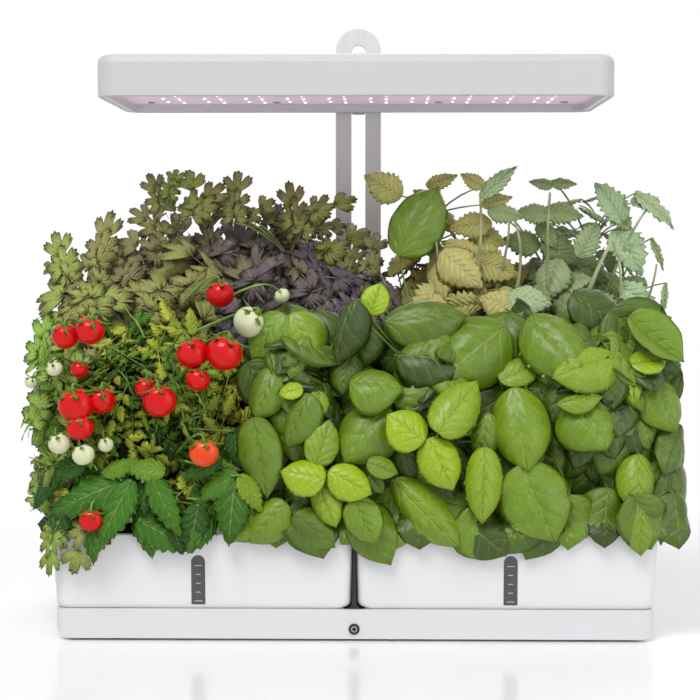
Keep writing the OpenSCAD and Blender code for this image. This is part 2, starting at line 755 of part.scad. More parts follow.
module tomato(i) color([0.20, 0.42, 0.10]) {
    pod = pod_pos(i);
    mid_z = (rim_z + tomato_top) / 2;
    tall = (tomato_top - rim_z) / 2;
    count = 20;
    trunk(i, tomato_top - 30, 3.4);
    intersection() {
        pod_room(i);
        union() {
            for (k = [0 : count - 1]) {
                a = k * golden;
                e = crown_height(k, count, -32, 80);
                n = out_dir(a, e);
                u = down_dir(a, e);
                v = cross(n, u);
                tip = [pod[0] - 4 + 66 * n[0], pod[1] - 12 + 50 * n[1], mid_z + tall * n[2]];
                root = [pod[0], pod[1], crown_height(k, count, plant_z + 14, tomato_top - 40)];
                fork = tip - 18 * n;
                aim = unit(fork - root);
                rod(root, fork + aim, 1.6, 1.4);
                for (s = [-1, 1]) lobe(fork - 3 * aim - s * 2 * v, unit(s * v + 0.4 * n), u,
                    tomato_leaf * 0.85, tomato_leaf * 0.5);
                lobe(fork - 3 * aim, unit(n + 0.7 * u), v, tomato_leaf * 0.8, tomato_leaf * 0.5);
            }
            for (f = tomato_fruit) {
                at = [pod[0] + f[0], pod[1] + f[1], f[2]];
                translate(at) sphere(f[3], $fn = 8);
                rod([pod[0], pod[1], max(plant_z + 16, min(at[2] - 4, tomato_top - 34))],
                    at, 1.5, 1.1);
            }
        }
    }
}

// Parsley: long stalks from one crown, each with a fan of cut lobes
module parsley(i, back, top_z, count) color([0.30, 0.38, 0.16]) {
    pod = pod_pos(i);
    span_y = [bay_y, back];
    reach = [half(room_x(i)) - crown_margin, half(span_y) - crown_margin];
    mid = [middle(room_x(i)), middle(span_y)];
    low_z = lerp(rim_z, top_z, 0.25);
    trunk(i, plant_z + 24, 3.2);
    intersection() {
        pod_room(i);
        union() for (k = [0 : count - 1]) {
            a = k * golden;
            n = out_dir(a, crown_height(k, count, -30, 84));
            tip = [mid[0] + reach[0] * n[0], mid[1] + reach[1] * n[1],
                   low_z + (top_z - low_z) * (0.45 + 0.55 * n[2])];
            out = unit(n + [0, 0, 0.6]);
            side = unit(cross(out, [0.1, -1, 0]));
            flat = cross(side, out);
            foot = tip - parsley_leaf * 0.8 * out;
            crown = [pod[0], pod[1], plant_z + 20];
            aim = unit(foot - crown);
            rod(crown, foot + aim, 1.7, 1.4);
            for (b = [-52, 0, 52])
                lobe(foot - 4 * aim, cos(b) * out + sin(b) * side, flat,
                    parsley_leaf * (1.1 - abs(b) / 200), parsley_leaf * 0.5, 2);
        }
    }
}

// Mint: upright stems with crossed pairs of pointed leaves. Each stem has the
// place of its top from the pod, its drop below the tallest, and its turn.
module mint(i, stems) color([0.40, 0.48, 0.24]) {
    pod = pod_pos(i);
    pairs = 3;
    trunk(i, plant_z + 24, 3);
    intersection() {
        pod_room(i);
        union() for (s = stems) {
            base = [pod[0], pod[1], plant_z + 20];
            top = [pod[0] + s[0], pod[1] + s[1], mint_top - s[2]];
            knee = lerp(base, top, 0.45) - [s[0], s[1], 0] * 0.1;
            rod(base, knee, 2.2, 1.7);
            rod(lerp(base, knee, 0.98), top, 1.7, 1.2);
            for (p = [0 : pairs], e = [-1, 1]) {
                at = lerp(knee, top, p / pairs);
                a = p * 94 + s[3];
                out = [cos(a) * e, sin(a) * e, 0];
                size = mint_leaf * lerp(1.05, 0.7, p / pairs);
                blade(at - 1.3 * out + [0, 0, 0.4 * e], unit(out + [0, 0, 0.15]),
                    unit([0, 0, 1] - 0.15 * out),
                    size, size * 0.66, 2);
            }
        }
    }
}

// ---- lamp

module lamp_slice(z, inset) {
    slice(-lamp_w / 2 + inset, lamp_w / 2 - inset, lamp_y - lamp_d / 2 + inset,
        lamp_y + lamp_d / 2 - inset, z, lamp_corner_r - inset);
}

module lamp_column(z0, z1, inset) {
    translate([0, lamp_y, z0]) linear_extrude(z1 - z0)
        round_rect(lamp_w - 2 * inset, lamp_d - 2 * inset, lamp_corner_r - inset);
}

module each_panel_screw() {
    for (x = panel_screw_x, y = panel_screw_y) translate([x, lamp_y + y, 0]) children();
}

module bracket_screw_axes(y0, y1, r) {
    for (sx = [-1, 1], z = bracket_screw_z) along_y(sx * bracket_screw_x, y0, y1, z) circle(r);
}

module lamp_wires(r, y0, y1) {
    both_sides() along_y(tongue_w / 2 - brush_t - 0.75, y0, y1, clamp_z + 5) circle(r);
}

module lamp_housing() color([0.86, 0.86, 0.88]) {
    difference() {
        hull() {
            lamp_slice(lamp_z, 0.8);
            lamp_slice(lamp_z + 0.8, 0);
            for (a = [0 : 30 : 90])
                lamp_slice(lamp_top_z - lamp_edge_r + lamp_edge_r * sin(a) - eps * sin(a),
                    lamp_edge_r * (1 - cos(a)));
        }
        lamp_column(lamp_z - 1, lamp_top_z - lamp_wall, lamp_wall);
        bracket_screw_axes(lamp_back - 5, lamp_back + 1, screw_r + push_fit);
        lamp_wires(0.9, lamp_back - 5, lamp_back + 1);
    }
    difference() {
        each_panel_screw() translate([0, 0, panel_z + panel_t + seat])
            cylinder(r = boss_r, h = lamp_top_z - lamp_wall / 2 - panel_z - panel_t - seat);
        each_panel_screw() translate([0, 0, panel_z])
            cylinder(r = screw_r, h = lamp_h - panel_recess - 6);
    }
}

// Frame pressed into the housing's mouth; its inner wall is the rim seen from below
module lamp_bezel() color([0.80, 0.80, 0.84]) difference() {
    lamp_column(lamp_z + 0.4, panel_z - push_fit, lamp_wall + push_fit);
    lamp_column(lamp_z - 1, panel_z + 1, lamp_rim);
}

module led_panel() color([0.93, 0.90, 0.94]) difference() {
    lamp_column(panel_z, panel_z + panel_t, lamp_wall + 0.5);
    each_panel_screw() translate([0, 0, panel_z - 1]) cylinder(r = screw_r + push_fit, h = 4);
}

module panel_screws() color(steel) each_panel_screw()
    translate([0, 0, panel_z - screw_head_h]) screw(9);

module led(x, y, colour) color(colour)
    translate([x - led_size / 2, lamp_y + y - led_size / 2, panel_z - led_t])
        cube([led_size, led_size, led_t]);

// One cluster stands at each crossing of a column and a row
module led_grid(offsets, colour, step = 1) {
    for (c = [0 : led_cols - 1], r = [0 : step : led_rows - 1], o = offsets)
        led((c - (led_cols - 1) / 2) * led_pitch_x + o[0],
            (r - (led_rows - 1) / 2) * led_pitch_y + o[1], colour);
}

module white_leds() { led_grid([[-5, -4], [6, 5]], [1, 0.97, 0.92]); }
module red_leds() { led_grid([[6, -7]], [0.95, 0.2, 0.35]); }
module blue_leds() { led_grid([[-6, 8]], [0.35, 0.3, 0.95], 2); }

module led_driver() color([0.05, 0.30, 0.16]) {
    low = panel_z + panel_t + 1;
    tall = lamp_top_z - lamp_wall - seat - low;
    translate([-40, lamp_y + 4, low + tall - 1.6]) cube([80, 34, 1.6]);
    translate([-34, lamp_y + 10, low + tall - 11]) cube([20, 20, 9.41]);
    for (x = [2, 18]) translate([x, lamp_y + 20, low + tall - 10])
        cylinder(r = 5, h = 8.41);
    both_sides() translate([tongue_w / 2 - brush_t - 1.75, lamp_y + 33, clamp_z + 4])
        cube([2, 5, low + tall - 1 - clamp_z - 4]);
}

// Plate on the lamp's back, with the tongue that runs in the mast's slot
module lamp_bracket() color([0.70, 0.70, 0.73]) difference() {
    union() {
        along_y(0, lamp_back + eps, lamp_back + bracket_t, clamp_z)
            round_rect(46, lamp_h - 5, 3);
        along_y(0, lamp_back + bracket_t - eps, tongue_back,
            (tongue_low_z + tongue_high_z) / 2)
                round_rect(tongue_w, tongue_high_z - tongue_low_z, 1.2);
    }
    bracket_screw_axes(lamp_back - 1, lamp_back + bracket_t + 1, screw_r);
    along_y(0, tongue_back - stud_l - 0.4, tongue_back + 1, clamp_z)
        circle(stud_r + shaft_fit);
    lamp_wires(0.9, lamp_back - 1, mast_y + brush_w / 2 - 0.3);
    both_sides() translate([tongue_w / 2 - brush_t - push_fit, mast_y - brush_w / 2 - push_fit,
        clamp_z - brush_h / 2 - push_fit])
            cube([4, brush_w + 2 * push_fit, brush_h + 2 * push_fit]);
}

module bracket_screws() color(steel) for (sx = [-1, 1], z = bracket_screw_z)
    translate([sx * bracket_screw_x, lamp_back - lamp_wall - screw_head_h - seat / 2, z])
        rotate([-90, 0, 0]) screw(lamp_wall + bracket_t);

module brushes() color(copper) both_sides()
    translate([tongue_w / 2 - brush_t, mast_y - brush_w / 2, clamp_z - brush_h / 2])
        cube([brush_t + brush_proud, brush_w, brush_h]);

module lamp_lead() color(black_plastic)
    lamp_wires(0.7, lamp_y + 38 + push_fit, mast_y + brush_w / 2 - 0.5);

module clamp_plate() color(mast_grey) difference() {
    along_y(0, clamp_front, clamp_front + clamp_t, clamp_z) round_rect(2 * mast_out_r, 26, 3);
    along_y(0, clamp_front - 1, clamp_front + clamp_t + 1, clamp_z)
        circle(stud_r + shaft_fit);
}

module clamp_knob() color(black_plastic) {
    front = clamp_front + clamp_t + seat;
    groove_ring = knob_r + 1.6;
    along_y(0, tongue_back - stud_l, front + 1, clamp_z) circle(stud_r);
    difference() {
        along_y(0, front, front + knob_l, clamp_z) circle(knob_r);
        for (a = [0 : 60 : 300]) translate([groove_ring * cos(a), 0, groove_ring * sin(a)])
            along_y(0, front + 2.5, front + knob_l + 1, clamp_z) circle(3);
    }
}

// ---- the parts, each in its own place

base_tray();
bottom_cover();
rubber_feet();
bottom_screws();
centre_divider();
mast_foot();
mast();
mast_screws();
contact_rails();
control_board();
power_button();
dc_inlet();
mast_lead();
mirror([1, 0, 0]) tank();  // left_tank
tank();  // right_tank
mirror([1, 0, 0]) window_glass();  // left_window
window_glass();  // right_window
mirror([1, 0, 0]) window_seal();  // left_window_seal
window_seal();  // right_window_seal
deck(-1);  // left_deck
deck(1);  // right_deck
for (i = PODS) basket(i);
for (i = PODS) sponge(i);
tomato(1);  // tomato_plant
basil(2, 20);  // basil_left
basil(5, 25);  // basil_middle
basil(6, 26);  // basil_right
parsley(3, foliage_y, parsley_top - 12, 22);  // parsley_left
parsley(4, tray_back - mast_foot_d, parsley_top, 18);  // parsley_middle
mint(7, [[-22, -10, 6, 10], [4, 20, 0, 40], [30, -4, 14, 70], [10, -20, 50, 20]]);  // mint_middle
mint(8, [[-20, 0, 12, 30], [14, 14, 4, 60], [48, 4, 20, 0], [61, 40, 70, 25],  // mint_right
             [0, 62, 40, 50]]);
lamp_housing();
lamp_bezel();
led_panel();
led_driver();
white_leds();
red_leds();
blue_leds();
panel_screws();
lamp_bracket();
bracket_screws();
brushes();
lamp_lead();
clamp_plate();
clamp_knob();
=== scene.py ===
import bpy
import math
import numpy as np
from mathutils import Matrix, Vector


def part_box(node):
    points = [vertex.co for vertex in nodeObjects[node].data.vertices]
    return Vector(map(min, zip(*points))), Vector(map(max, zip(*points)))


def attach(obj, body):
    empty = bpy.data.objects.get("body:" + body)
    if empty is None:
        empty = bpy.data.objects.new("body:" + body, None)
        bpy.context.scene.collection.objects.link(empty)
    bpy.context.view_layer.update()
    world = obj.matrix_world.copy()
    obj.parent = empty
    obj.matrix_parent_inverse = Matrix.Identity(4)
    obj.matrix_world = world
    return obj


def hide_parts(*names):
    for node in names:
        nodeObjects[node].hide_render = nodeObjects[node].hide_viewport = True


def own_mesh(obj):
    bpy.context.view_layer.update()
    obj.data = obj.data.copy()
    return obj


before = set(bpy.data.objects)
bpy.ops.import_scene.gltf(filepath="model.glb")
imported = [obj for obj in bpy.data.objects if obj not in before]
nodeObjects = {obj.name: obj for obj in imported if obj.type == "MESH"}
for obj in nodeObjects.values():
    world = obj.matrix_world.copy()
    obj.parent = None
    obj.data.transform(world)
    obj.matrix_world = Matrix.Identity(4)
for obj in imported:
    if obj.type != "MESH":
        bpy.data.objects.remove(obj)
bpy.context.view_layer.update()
mm = 0.001
print("frame loaded:", len(nodeObjects), "nodes")


# Short ways to make nodes and join them up

def setSockets(tree, sockets, values):
    # Another node's output is linked; any other value is set on the socket
    for key, value in values.items():
        if isinstance(value, bpy.types.NodeSocket):
            tree.links.new(value, sockets[key])
        else:
            sockets[key].default_value = value


def addNode(tree, kind, inputs=None, **settings):
    made = tree.nodes.new(kind)
    for key, value in settings.items():
        setattr(made, key, value)
    setSockets(tree, made.inputs, inputs or {})
    return made


def calc(tree, operation, a, b=0.0, c=0.0, clamp=False):
    return addNode(tree, "ShaderNodeMath", {0: a, 1: b, 2: c}, operation=operation,
                   use_clamp=clamp).outputs[0]


def vectorCalc(tree, operation, a, b=(0, 0, 0)):
    return addNode(tree, "ShaderNodeVectorMath", {0: a, 1: b}, operation=operation).outputs


def objectPlace(tree):
    return addNode(tree, "ShaderNodeTexCoord").outputs["Object"]


def named(tree, name):
    return addNode(tree, "ShaderNodeAttribute", attribute_name=name).outputs["Fac"]


def noise(tree, place, scale, detail=2.0):
    return addNode(tree, "ShaderNodeTexNoise", {
        "Vector": place, "Scale": scale, "Detail": detail}).outputs[0]


def cells(tree, place, scale):
    return addNode(tree, "ShaderNodeTexVoronoi", {"Vector": place, "Scale": scale}).outputs[0]


def bumped(tree, height, strength, distance):
    return addNode(tree, "ShaderNodeBump", {
        "Height": height, "Strength": strength, "Distance": distance}).outputs[0]


def mixColour(tree, share, a, b):
    return addNode(tree, "ShaderNodeMix", {0: share, 6: a, 7: b}, data_type="RGBA").outputs[2]


def linear(code):
    # A paint colour written as a web code, as the renderer counts it
    parts = [int(code[i:i + 2], 16) / 255 for i in (0, 2, 4)]
    return tuple(p / 12.92 if p < 0.04045 else ((p + 0.055) / 1.055) ** 2.4 for p in parts) + (1,)


def shaded(colour, share):
    return tuple(min(1.0, c * share) for c in colour[:3]) + (1,)


def ramp(tree, value, stops):
    made = addNode(tree, "ShaderNodeValToRGB", {0: value})
    elements = made.color_ramp.elements
    while len(elements) < len(stops):
        elements.new(0.5)
    for element, (place, code) in zip(elements, stops):
        element.position = place
        element.color = linear(code)
    return made.outputs[0]


def newGroup(name, kind, ins, outs):
    tree = bpy.data.node_groups.new(name, kind)
    for label, socketType, default in ins:
        socket = tree.interface.new_socket(label, in_out="INPUT", socket_type=socketType)
        if default is not None:
            socket.default_value = default
    for label, socketType in outs:
        tree.interface.new_socket(label, in_out="OUTPUT", socket_type=socketType)
    given = tree.nodes.new("NodeGroupInput").outputs
    return tree, given, tree.nodes.new("NodeGroupOutput").inputs


def useGroup(tree, group, inputs):
    return addNode(tree, "ShaderNodeGroup", inputs, node_tree=group).outputs


def newMaterial(name):
    material = bpy.data.materials.new(name)
    material.use_nodes = True
    return material, material.node_tree, material.node_tree.nodes["Principled BSDF"].inputs


# Camera, lights, background and floor

cameraView = {"place": (0.0187, -1.3, 0.2636), "pitch": -3.39, "yaw": 1.03, "lens": 93.84}
studio = {
    "room": 0.42,          # strength of the even white light from all round
    "floorColour": 0.96, "floorGloss": 0.16, "floorHalf": 6.0,
    "plainFrom": 0.3, "plainTo": 0.7,   # where the floor fades into the white background
    "lamps": {
        "key": {"place": (-0.5, -1.1, 1.9), "aim": (0, 0, 0.15), "size": 1.0, "power": 30},
        "fill": {"place": (1.5, -1.5, 0.7), "aim": (0, 0, 0.15), "size": 1.5, "power": 11},
        "back": {"place": (0.4, 1.6, 1.3), "aim": (0, 0, 0.2), "size": 1.4, "power": 14}},
}
white = (1, 1, 1, 1)


def setCamera(view):
    data = bpy.data.cameras.new("camera")
    data.lens = view["lens"]
    data.sensor_width = 36
    camera = bpy.data.objects.new("camera", data)
    camera.location = view["place"]
    camera.rotation_euler = (math.radians(90 + view["pitch"]), 0, math.radians(view["yaw"]))
    bpy.context.collection.objects.link(camera)
    bpy.context.scene.camera = camera


def setLamps(lamps):
    for name, lamp in lamps.items():
        data = bpy.data.lights.new(name, "AREA")
        data.size = lamp["size"]
        data.energy = lamp["power"]
        light = bpy.data.objects.new(name, data)
        light.location = lamp["place"]
        aim = Vector(lamp["aim"]) - light.location
        light.rotation_euler = aim.to_track_quat("-Z", "Y").to_euler()
        bpy.context.collection.objects.link(light)


def setRoom():
    # Even light on the object, and plain white wherever the background itself is seen
    bpy.context.scene.view_settings.view_transform = "Standard"
    world = bpy.data.worlds.new("room")
    bpy.context.scene.world = world
    world.use_nodes = True
    tree = world.node_tree
    tree.nodes.clear()
    path = addNode(tree, "ShaderNodeLightPath").outputs
    seen = calc(tree, "MAXIMUM", calc(tree, "MAXIMUM", path["Is Camera Ray"],
                                      path["Is Glossy Ray"]), path["Is Transmission Ray"])
    even, plain = [addNode(tree, "ShaderNodeBackground", {"Color": white, "Strength": strength})
                   for strength in (studio["room"], 1.0)]
    mixed = addNode(tree, "ShaderNodeMixShader", {0: seen, 1: even.outputs[0],
                                                  2: plain.outputs[0]})
    addNode(tree, "ShaderNodeOutputWorld", {0: mixed.outputs[0]})


def layFloor():
    half, pale = studio["floorHalf"], studio["floorColour"]
    mesh = bpy.data.meshes.new("floor")
    mesh.from_pydata([(-half, -half, 0), (half, -half, 0), (half, half, 0), (-half, half, 0)],
                     [], [(0, 1, 2, 3)])
    floor = bpy.data.objects.new("floor", mesh)
    bpy.context.collection.objects.link(floor)
    material, tree, shader = newMaterial("paleFloor")
    place = objectPlace(tree)
    setSockets(tree, shader, {
        "Roughness": studio["floorGloss"],
        "Base Color": mixColour(tree, noise(tree, place, 5.0), (pale, pale, pale, 1),
                                (pale * 0.99, pale * 0.99, pale, 1))})
    fade = addNode(tree, "ShaderNodeMapRange", {
        0: vectorCalc(tree, "LENGTH", place)["Value"], 1: studio["plainFrom"],
        2: studio["plainTo"]}, interpolation_type="SMOOTHSTEP").outputs[0]
    path = addNode(tree, "ShaderNodeLightPath").outputs
    seen = calc(tree, "MAXIMUM", path["Is Camera Ray"], path["Is Glossy Ray"])
    plain = addNode(tree, "ShaderNodeEmission", {"Color": white, "Strength": 1.0})
    mixed = addNode(tree, "ShaderNodeMixShader", {
        0: calc(tree, "MULTIPLY", fade, seen), 1: tree.nodes["Principled BSDF"].outputs[0],
        2: plain.outputs[0]})
    setSockets(tree, tree.nodes["Material Output"].inputs, {0: mixed.outputs[0]})
    mesh.materials.append(material)


setCamera(cameraView)
setLamps(studio["lamps"])
setRoom()
layFloor()
print("camera, lights and floor set")


# Shader groups that several finishes share

def buildMouldGrain():
    # Fine sparkle grain of a moulding, with a slow drift of tint and gloss
    tree, given, out = newGroup("mouldGrain", "ShaderNodeTree", [
        ("Fineness", "NodeSocketFloat", 900.0), ("Depth", "NodeSocketFloat", 0.1)],
        [("Tint", "NodeSocketFloat"), ("Gloss", "NodeSocketFloat"), ("Normal", "NodeSocketVector")])
    place = objectPlace(tree)
    broad = noise(tree, place, 14.0, 4.0)
    dust = noise(tree, place, 210.0)
    fine = noise(tree, place, given["Fineness"], 3.0)
    setSockets(tree, out, {
        "Tint": broad,
        "Gloss": calc(tree, "MULTIPLY_ADD", dust, 0.5, calc(tree, "MULTIPLY", broad, 0.5)),
        "Normal": bumped(tree, fine, given["Depth"], 0.0002)})
    return tree


def buildBladeVeins():
    # Midrib, slanting side veins and a fine net, laid out on the blade's own map
    tree, given, out = newGroup("bladeVeins", "ShaderNodeTree", [
        ("Pairs", "NodeSocketFloat", 6.0), ("Slant", "NodeSocketFloat", 0.3),
        ("Fineness", "NodeSocketFloat", 12.0)],
        [(label, "NodeSocketFloat") for label in ("Veins", "Pads", "Net", "Edge")])
    place = addNode(tree, "ShaderNodeUVMap", uv_map="bladeMap").outputs[0]
    axes = addNode(tree, "ShaderNodeSeparateXYZ", {0: place}).outputs
    across = calc(tree, "ABSOLUTE", calc(tree, "MULTIPLY_ADD", axes[1], 2.0, -1.0))
    lean = calc(tree, "MULTIPLY", calc(tree, "POWER", across, 0.8), given["Slant"])
    uneven = noise(tree, objectPlace(tree), 40.0)
    ahead = calc(tree, "SUBTRACT", calc(tree, "MULTIPLY_ADD", uneven, 0.16, axes[0]), lean)
    phase = calc(tree, "FRACT", calc(tree, "MULTIPLY_ADD", ahead, given["Pairs"], 10.0))
    away = calc(tree, "SUBTRACT", 0.5, calc(tree, "ABSOLUTE", calc(tree, "SUBTRACT", phase, 0.5)))
    side = calc(tree, "MULTIPLY_ADD", away, -13.0, 1.0, clamp=True)     # 1 on a side vein
    rib = calc(tree, "MULTIPLY_ADD", across, -20.0, 1.0, clamp=True)    # 1 on the midrib
    fade = calc(tree, "MULTIPLY_ADD", across, -0.75, 0.9, clamp=True)   # paler towards the edge
    net = addNode(tree, "ShaderNodeTexVoronoi", {"Vector": place, "Scale": given["Fineness"]},
                  feature="DISTANCE_TO_EDGE").outputs["Distance"]
    pads = calc(tree, "MULTIPLY", calc(tree, "SINE", calc(tree, "MULTIPLY", away, math.pi)),
                calc(tree, "MULTIPLY_ADD", across, -0.8, 1.0, clamp=True))
    setSockets(tree, out, {
        "Veins": calc(tree, "MAXIMUM", rib, calc(tree, "MULTIPLY", side, fade)),
        "Pads": calc(tree, "SUBTRACT", pads, calc(tree, "MULTIPLY", rib, 0.5)),
        "Net": calc(tree, "MULTIPLY", net, 2.2, clamp=True),
        "Edge": calc(tree, "MULTIPLY_ADD", across, 12.0, -11.0, clamp=True)})
    return tree


mouldGrain = buildMouldGrain()
bladeVeins = buildBladeVeins()


# Plastics, metals and other hard finishes

def solidsOf(node):
    # Lowest and highest corner of each separate solid in a CAD node
    mesh = nodeObjects[node].data
    co = np.array([v.co[:] for v in mesh.vertices])
    points, where = np.unique(np.round(co, 5), axis=0, return_inverse=True)
    where = where.ravel()
    leader = list(range(len(points)))

    def top(i):
        while leader[i] != i:
            leader[i] = leader[leader[i]]
            i = leader[i]
        return i

    for face in mesh.polygons:
        ids = [top(where[i]) for i in face.vertices]
        for other in ids[1:]:
            leader[other] = ids[0]
    groups = {}
    for i in range(len(points)):
        groups.setdefault(top(i), []).append(points[i])
    return [(np.min(g, 0), np.max(g, 0)) for g in groups.values()]


def moulded(name, code, rough, depth, fineness=900.0, coat=0.0):
    material, tree, shader = newMaterial(name)
    grain = useGroup(tree, mouldGrain, {"Fineness": fineness, "Depth": depth})
    base = linear(code)
    setSockets(tree, shader, {
        "Base Color": mixColour(tree, grain["Tint"], base, shaded(base, 0.93)),
        "Roughness": calc(tree, "MULTIPLY_ADD", grain["Gloss"], 0.16, rough - 0.08),
        "Coat Weight": coat, "Coat Roughness": 0.15, "Normal": grain["Normal"]})
    return material


def brushed(name, code, rough, streak, metallic):
    # Streaks from drawing or turning; streak is how closely they lie along each axis
    material, tree, shader = newMaterial(name)
    fine = noise(tree, vectorCalc(tree, "MULTIPLY", objectPlace(tree), streak)[0], 1.0, 5.0)
    base = linear(code)
    setSockets(tree, shader, {
        "Base Color": mixColour(tree, fine, shaded(base, 0.84), shaded(base, 1.14)),
        "Roughness": calc(tree, "MULTIPLY_ADD", fine, 0.3, rough - 0.15),
        "Metallic": metallic, "Normal": bumped(tree, fine, 0.25, 0.0001)})
    return material


def spongeFoam():
    material, tree, shader = newMaterial("spongeFoam")
    pores = cells(tree, objectPlace(tree), 900.0)
    setSockets(tree, shader, {
        "Base Color": ramp(tree, pores, [(0.0, "17100c"), (0.8, "4a3a2c")]),
        "Roughness": 0.95, "Normal": bumped(tree, pores, 0.8, 0.0006)})
    return material


def circuitBoard():
    # Solder mask with straight copper tracks under it
    material, tree, shader = newMaterial("circuitBoard")
    tracks = addNode(tree, "ShaderNodeTexBrick", {
        "Vector": objectPlace(tree), "Scale": 160.0, "Mortar Size": 0.03,
        "Color1": linear("1d5a33"), "Color2": linear("1a4f2d"), "Mortar": linear("3f8a52")})
    grain = useGroup(tree, mouldGrain, {"Fineness": 1500.0, "Depth": 0.1})
    setSockets(tree, shader, {"Base Color": tracks.outputs[0], "Roughness": 0.35,
                              "Normal": grain["Normal"]})
    return material


# Highest and lowest line by their distance from the window's ends; the end lines are long
windowMarks = {"fromTop": 7.0, "fromBottom": 2.2, "lines": 5, "lineHalf": 0.22, "short": 1.6,
               "long": 2.6}


def levelWindow():
    # Smoky plastic with printed level lines, the same on both windows
    low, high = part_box("right_window")
    material, tree, shader = newMaterial("levelWindow")
    axes = addNode(tree, "ShaderNodeSeparateXYZ", {0: objectPlace(tree)}).outputs
    top = high[2] - windowMarks["fromTop"] * mm
    bottom = low[2] + windowMarks["fromBottom"] * mm
    last = windowMarks["lines"] - 1
    step = (top - bottom) / last
    level = calc(tree, "DIVIDE", calc(tree, "SUBTRACT", axes[2], bottom), step)
    near = calc(tree, "ABSOLUTE", calc(tree, "SUBTRACT", level, calc(tree, "ROUND", level)))
    line = calc(tree, "LESS_THAN", near, windowMarks["lineHalf"] * mm / step)
    off = calc(tree, "ABSOLUTE", calc(tree, "SUBTRACT", level, last / 2))
    within = calc(tree, "LESS_THAN", off, last / 2 + 0.3)
    reach = calc(tree, "MULTIPLY_ADD", calc(tree, "GREATER_THAN", off, last / 2 - 0.3),
                 (windowMarks["long"] - windowMarks["short"]) * mm, windowMarks["short"] * mm)
    across = calc(tree, "SUBTRACT", calc(tree, "ABSOLUTE", axes[0]), (low[0] + high[0]) / 2)
    inside = calc(tree, "LESS_THAN", calc(tree, "ABSOLUTE", across), reach)
    mark = calc(tree, "MULTIPLY", calc(tree, "MULTIPLY", line, inside), within)
    grain = useGroup(tree, mouldGrain, {"Depth": 0.04})
    smoke = mixColour(tree, grain["Tint"], linear("4b4c50"), linear("38393c"))
    setSockets(tree, shader, {
        "Base Color": mixColour(tree, mark, smoke, linear("c9cacc")),
        "Roughness": calc(tree, "MULTIPLY_ADD", mark, 0.3, 0.16),
        "Coat Weight": 0.6, "Coat Roughness": 0.05, "Normal": grain["Normal"]})
    return material


buttonRing = {"radius": 1.7, "half": 0.25}


def buttonCap():
    # Satin black with a pale ring round the middle
    low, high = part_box("power_button")
    material, tree, shader = newMaterial("buttonCap")
    middle = tuple((low[i] + high[i]) / 2 for i in range(3))
    off = vectorCalc(tree, "SUBTRACT", objectPlace(tree), middle)[0]
    far = vectorCalc(tree, "LENGTH", vectorCalc(tree, "MULTIPLY", off, (1, 0, 1))[0])["Value"]
    ring = calc(tree, "LESS_THAN", calc(tree, "ABSOLUTE", calc(
        tree, "SUBTRACT", far, buttonRing["radius"] * mm)), buttonRing["half"] * mm)
    grain = useGroup(tree, mouldGrain, {"Depth": 0.1})
    setSockets(tree, shader, {
        "Base Color": mixColour(tree, ring, linear("1c1c1f"), linear("b9bbbf")),
        "Roughness": 0.35, "Normal": grain["Normal"]})
    return material


# Glow colour and strength of each kind of diode, and a slot name
diodeLooks = {"white_leds": ("fff0d0", 3.0, "led_white"), "red_leds": ("ff5aa6", 1.8, "led_red"),
              "blue_leds": ("9a78ff", 1.8, "led_blue")}
panelGlow = {"wide": 5.0, "dim": "4a4650", "near": "f2cee4", "strength": 0.28,
             "mask": ("b2acb6", "9c96a2")}


def lightPanel():
    # White solder mask with a painted glow: dim all over, and a pool of pink painted round every
    # diode on it
    material, tree, shader = newMaterial("lightPanel")
    axes = addNode(tree, "ShaderNodeSeparateXYZ", {0: objectPlace(tree)}).outputs
    squares = []
    for axis in range(2):
        spots = np.unique([round(float(low[axis] + high[axis]) / 2, 4)
                           for node in diodeLooks for low, high in solidsOf(node)])
        pitch = float(np.min(np.diff(spots)))
        share = calc(tree, "DIVIDE", calc(tree, "SUBTRACT", axes[axis], float(spots[0])), pitch)
        off = calc(tree, "SUBTRACT", share, calc(tree, "ROUND", share))
        away = calc(tree, "MULTIPLY", off, pitch / (panelGlow["wide"] * mm))
        squares.append(calc(tree, "MULTIPLY", away, away))
    pool = calc(tree, "EXPONENT", calc(tree, "MULTIPLY", calc(tree, "ADD", *squares), -1.0))
    grain = useGroup(tree, mouldGrain, {"Depth": 0.1})
    setSockets(tree, shader, {
        "Base Color": mixColour(tree, grain["Tint"], *map(linear, panelGlow["mask"])),
        "Emission Color": mixColour(tree, pool, linear(panelGlow["dim"]),
                                    linear(panelGlow["near"])),
        "Emission Strength": panelGlow["strength"], "Roughness": 0.5,
        "Normal": grain["Normal"]})
    return material


def diode(name, code, strength):
    # A bright die under the lens, inside a white frame
    material, tree, shader = newMaterial(name)
    glow = named(tree, "under")
    grain = useGroup(tree, mouldGrain, {"Depth": 0.05})
    setSockets(tree, shader, {
        "Base Color": mixColour(tree, glow, linear("ece6ee"), linear(code)),
        # The lens glows in the diode's colour, and the white frame round it has a dim painted glow
        "Emission Color": mixColour(tree, glow, linear("807680"), linear(code)),
        "Emission Strength": strength, "Roughness": 0.25, "Coat Weight": 0.4,
        "Normal": grain["Normal"]})
    return material


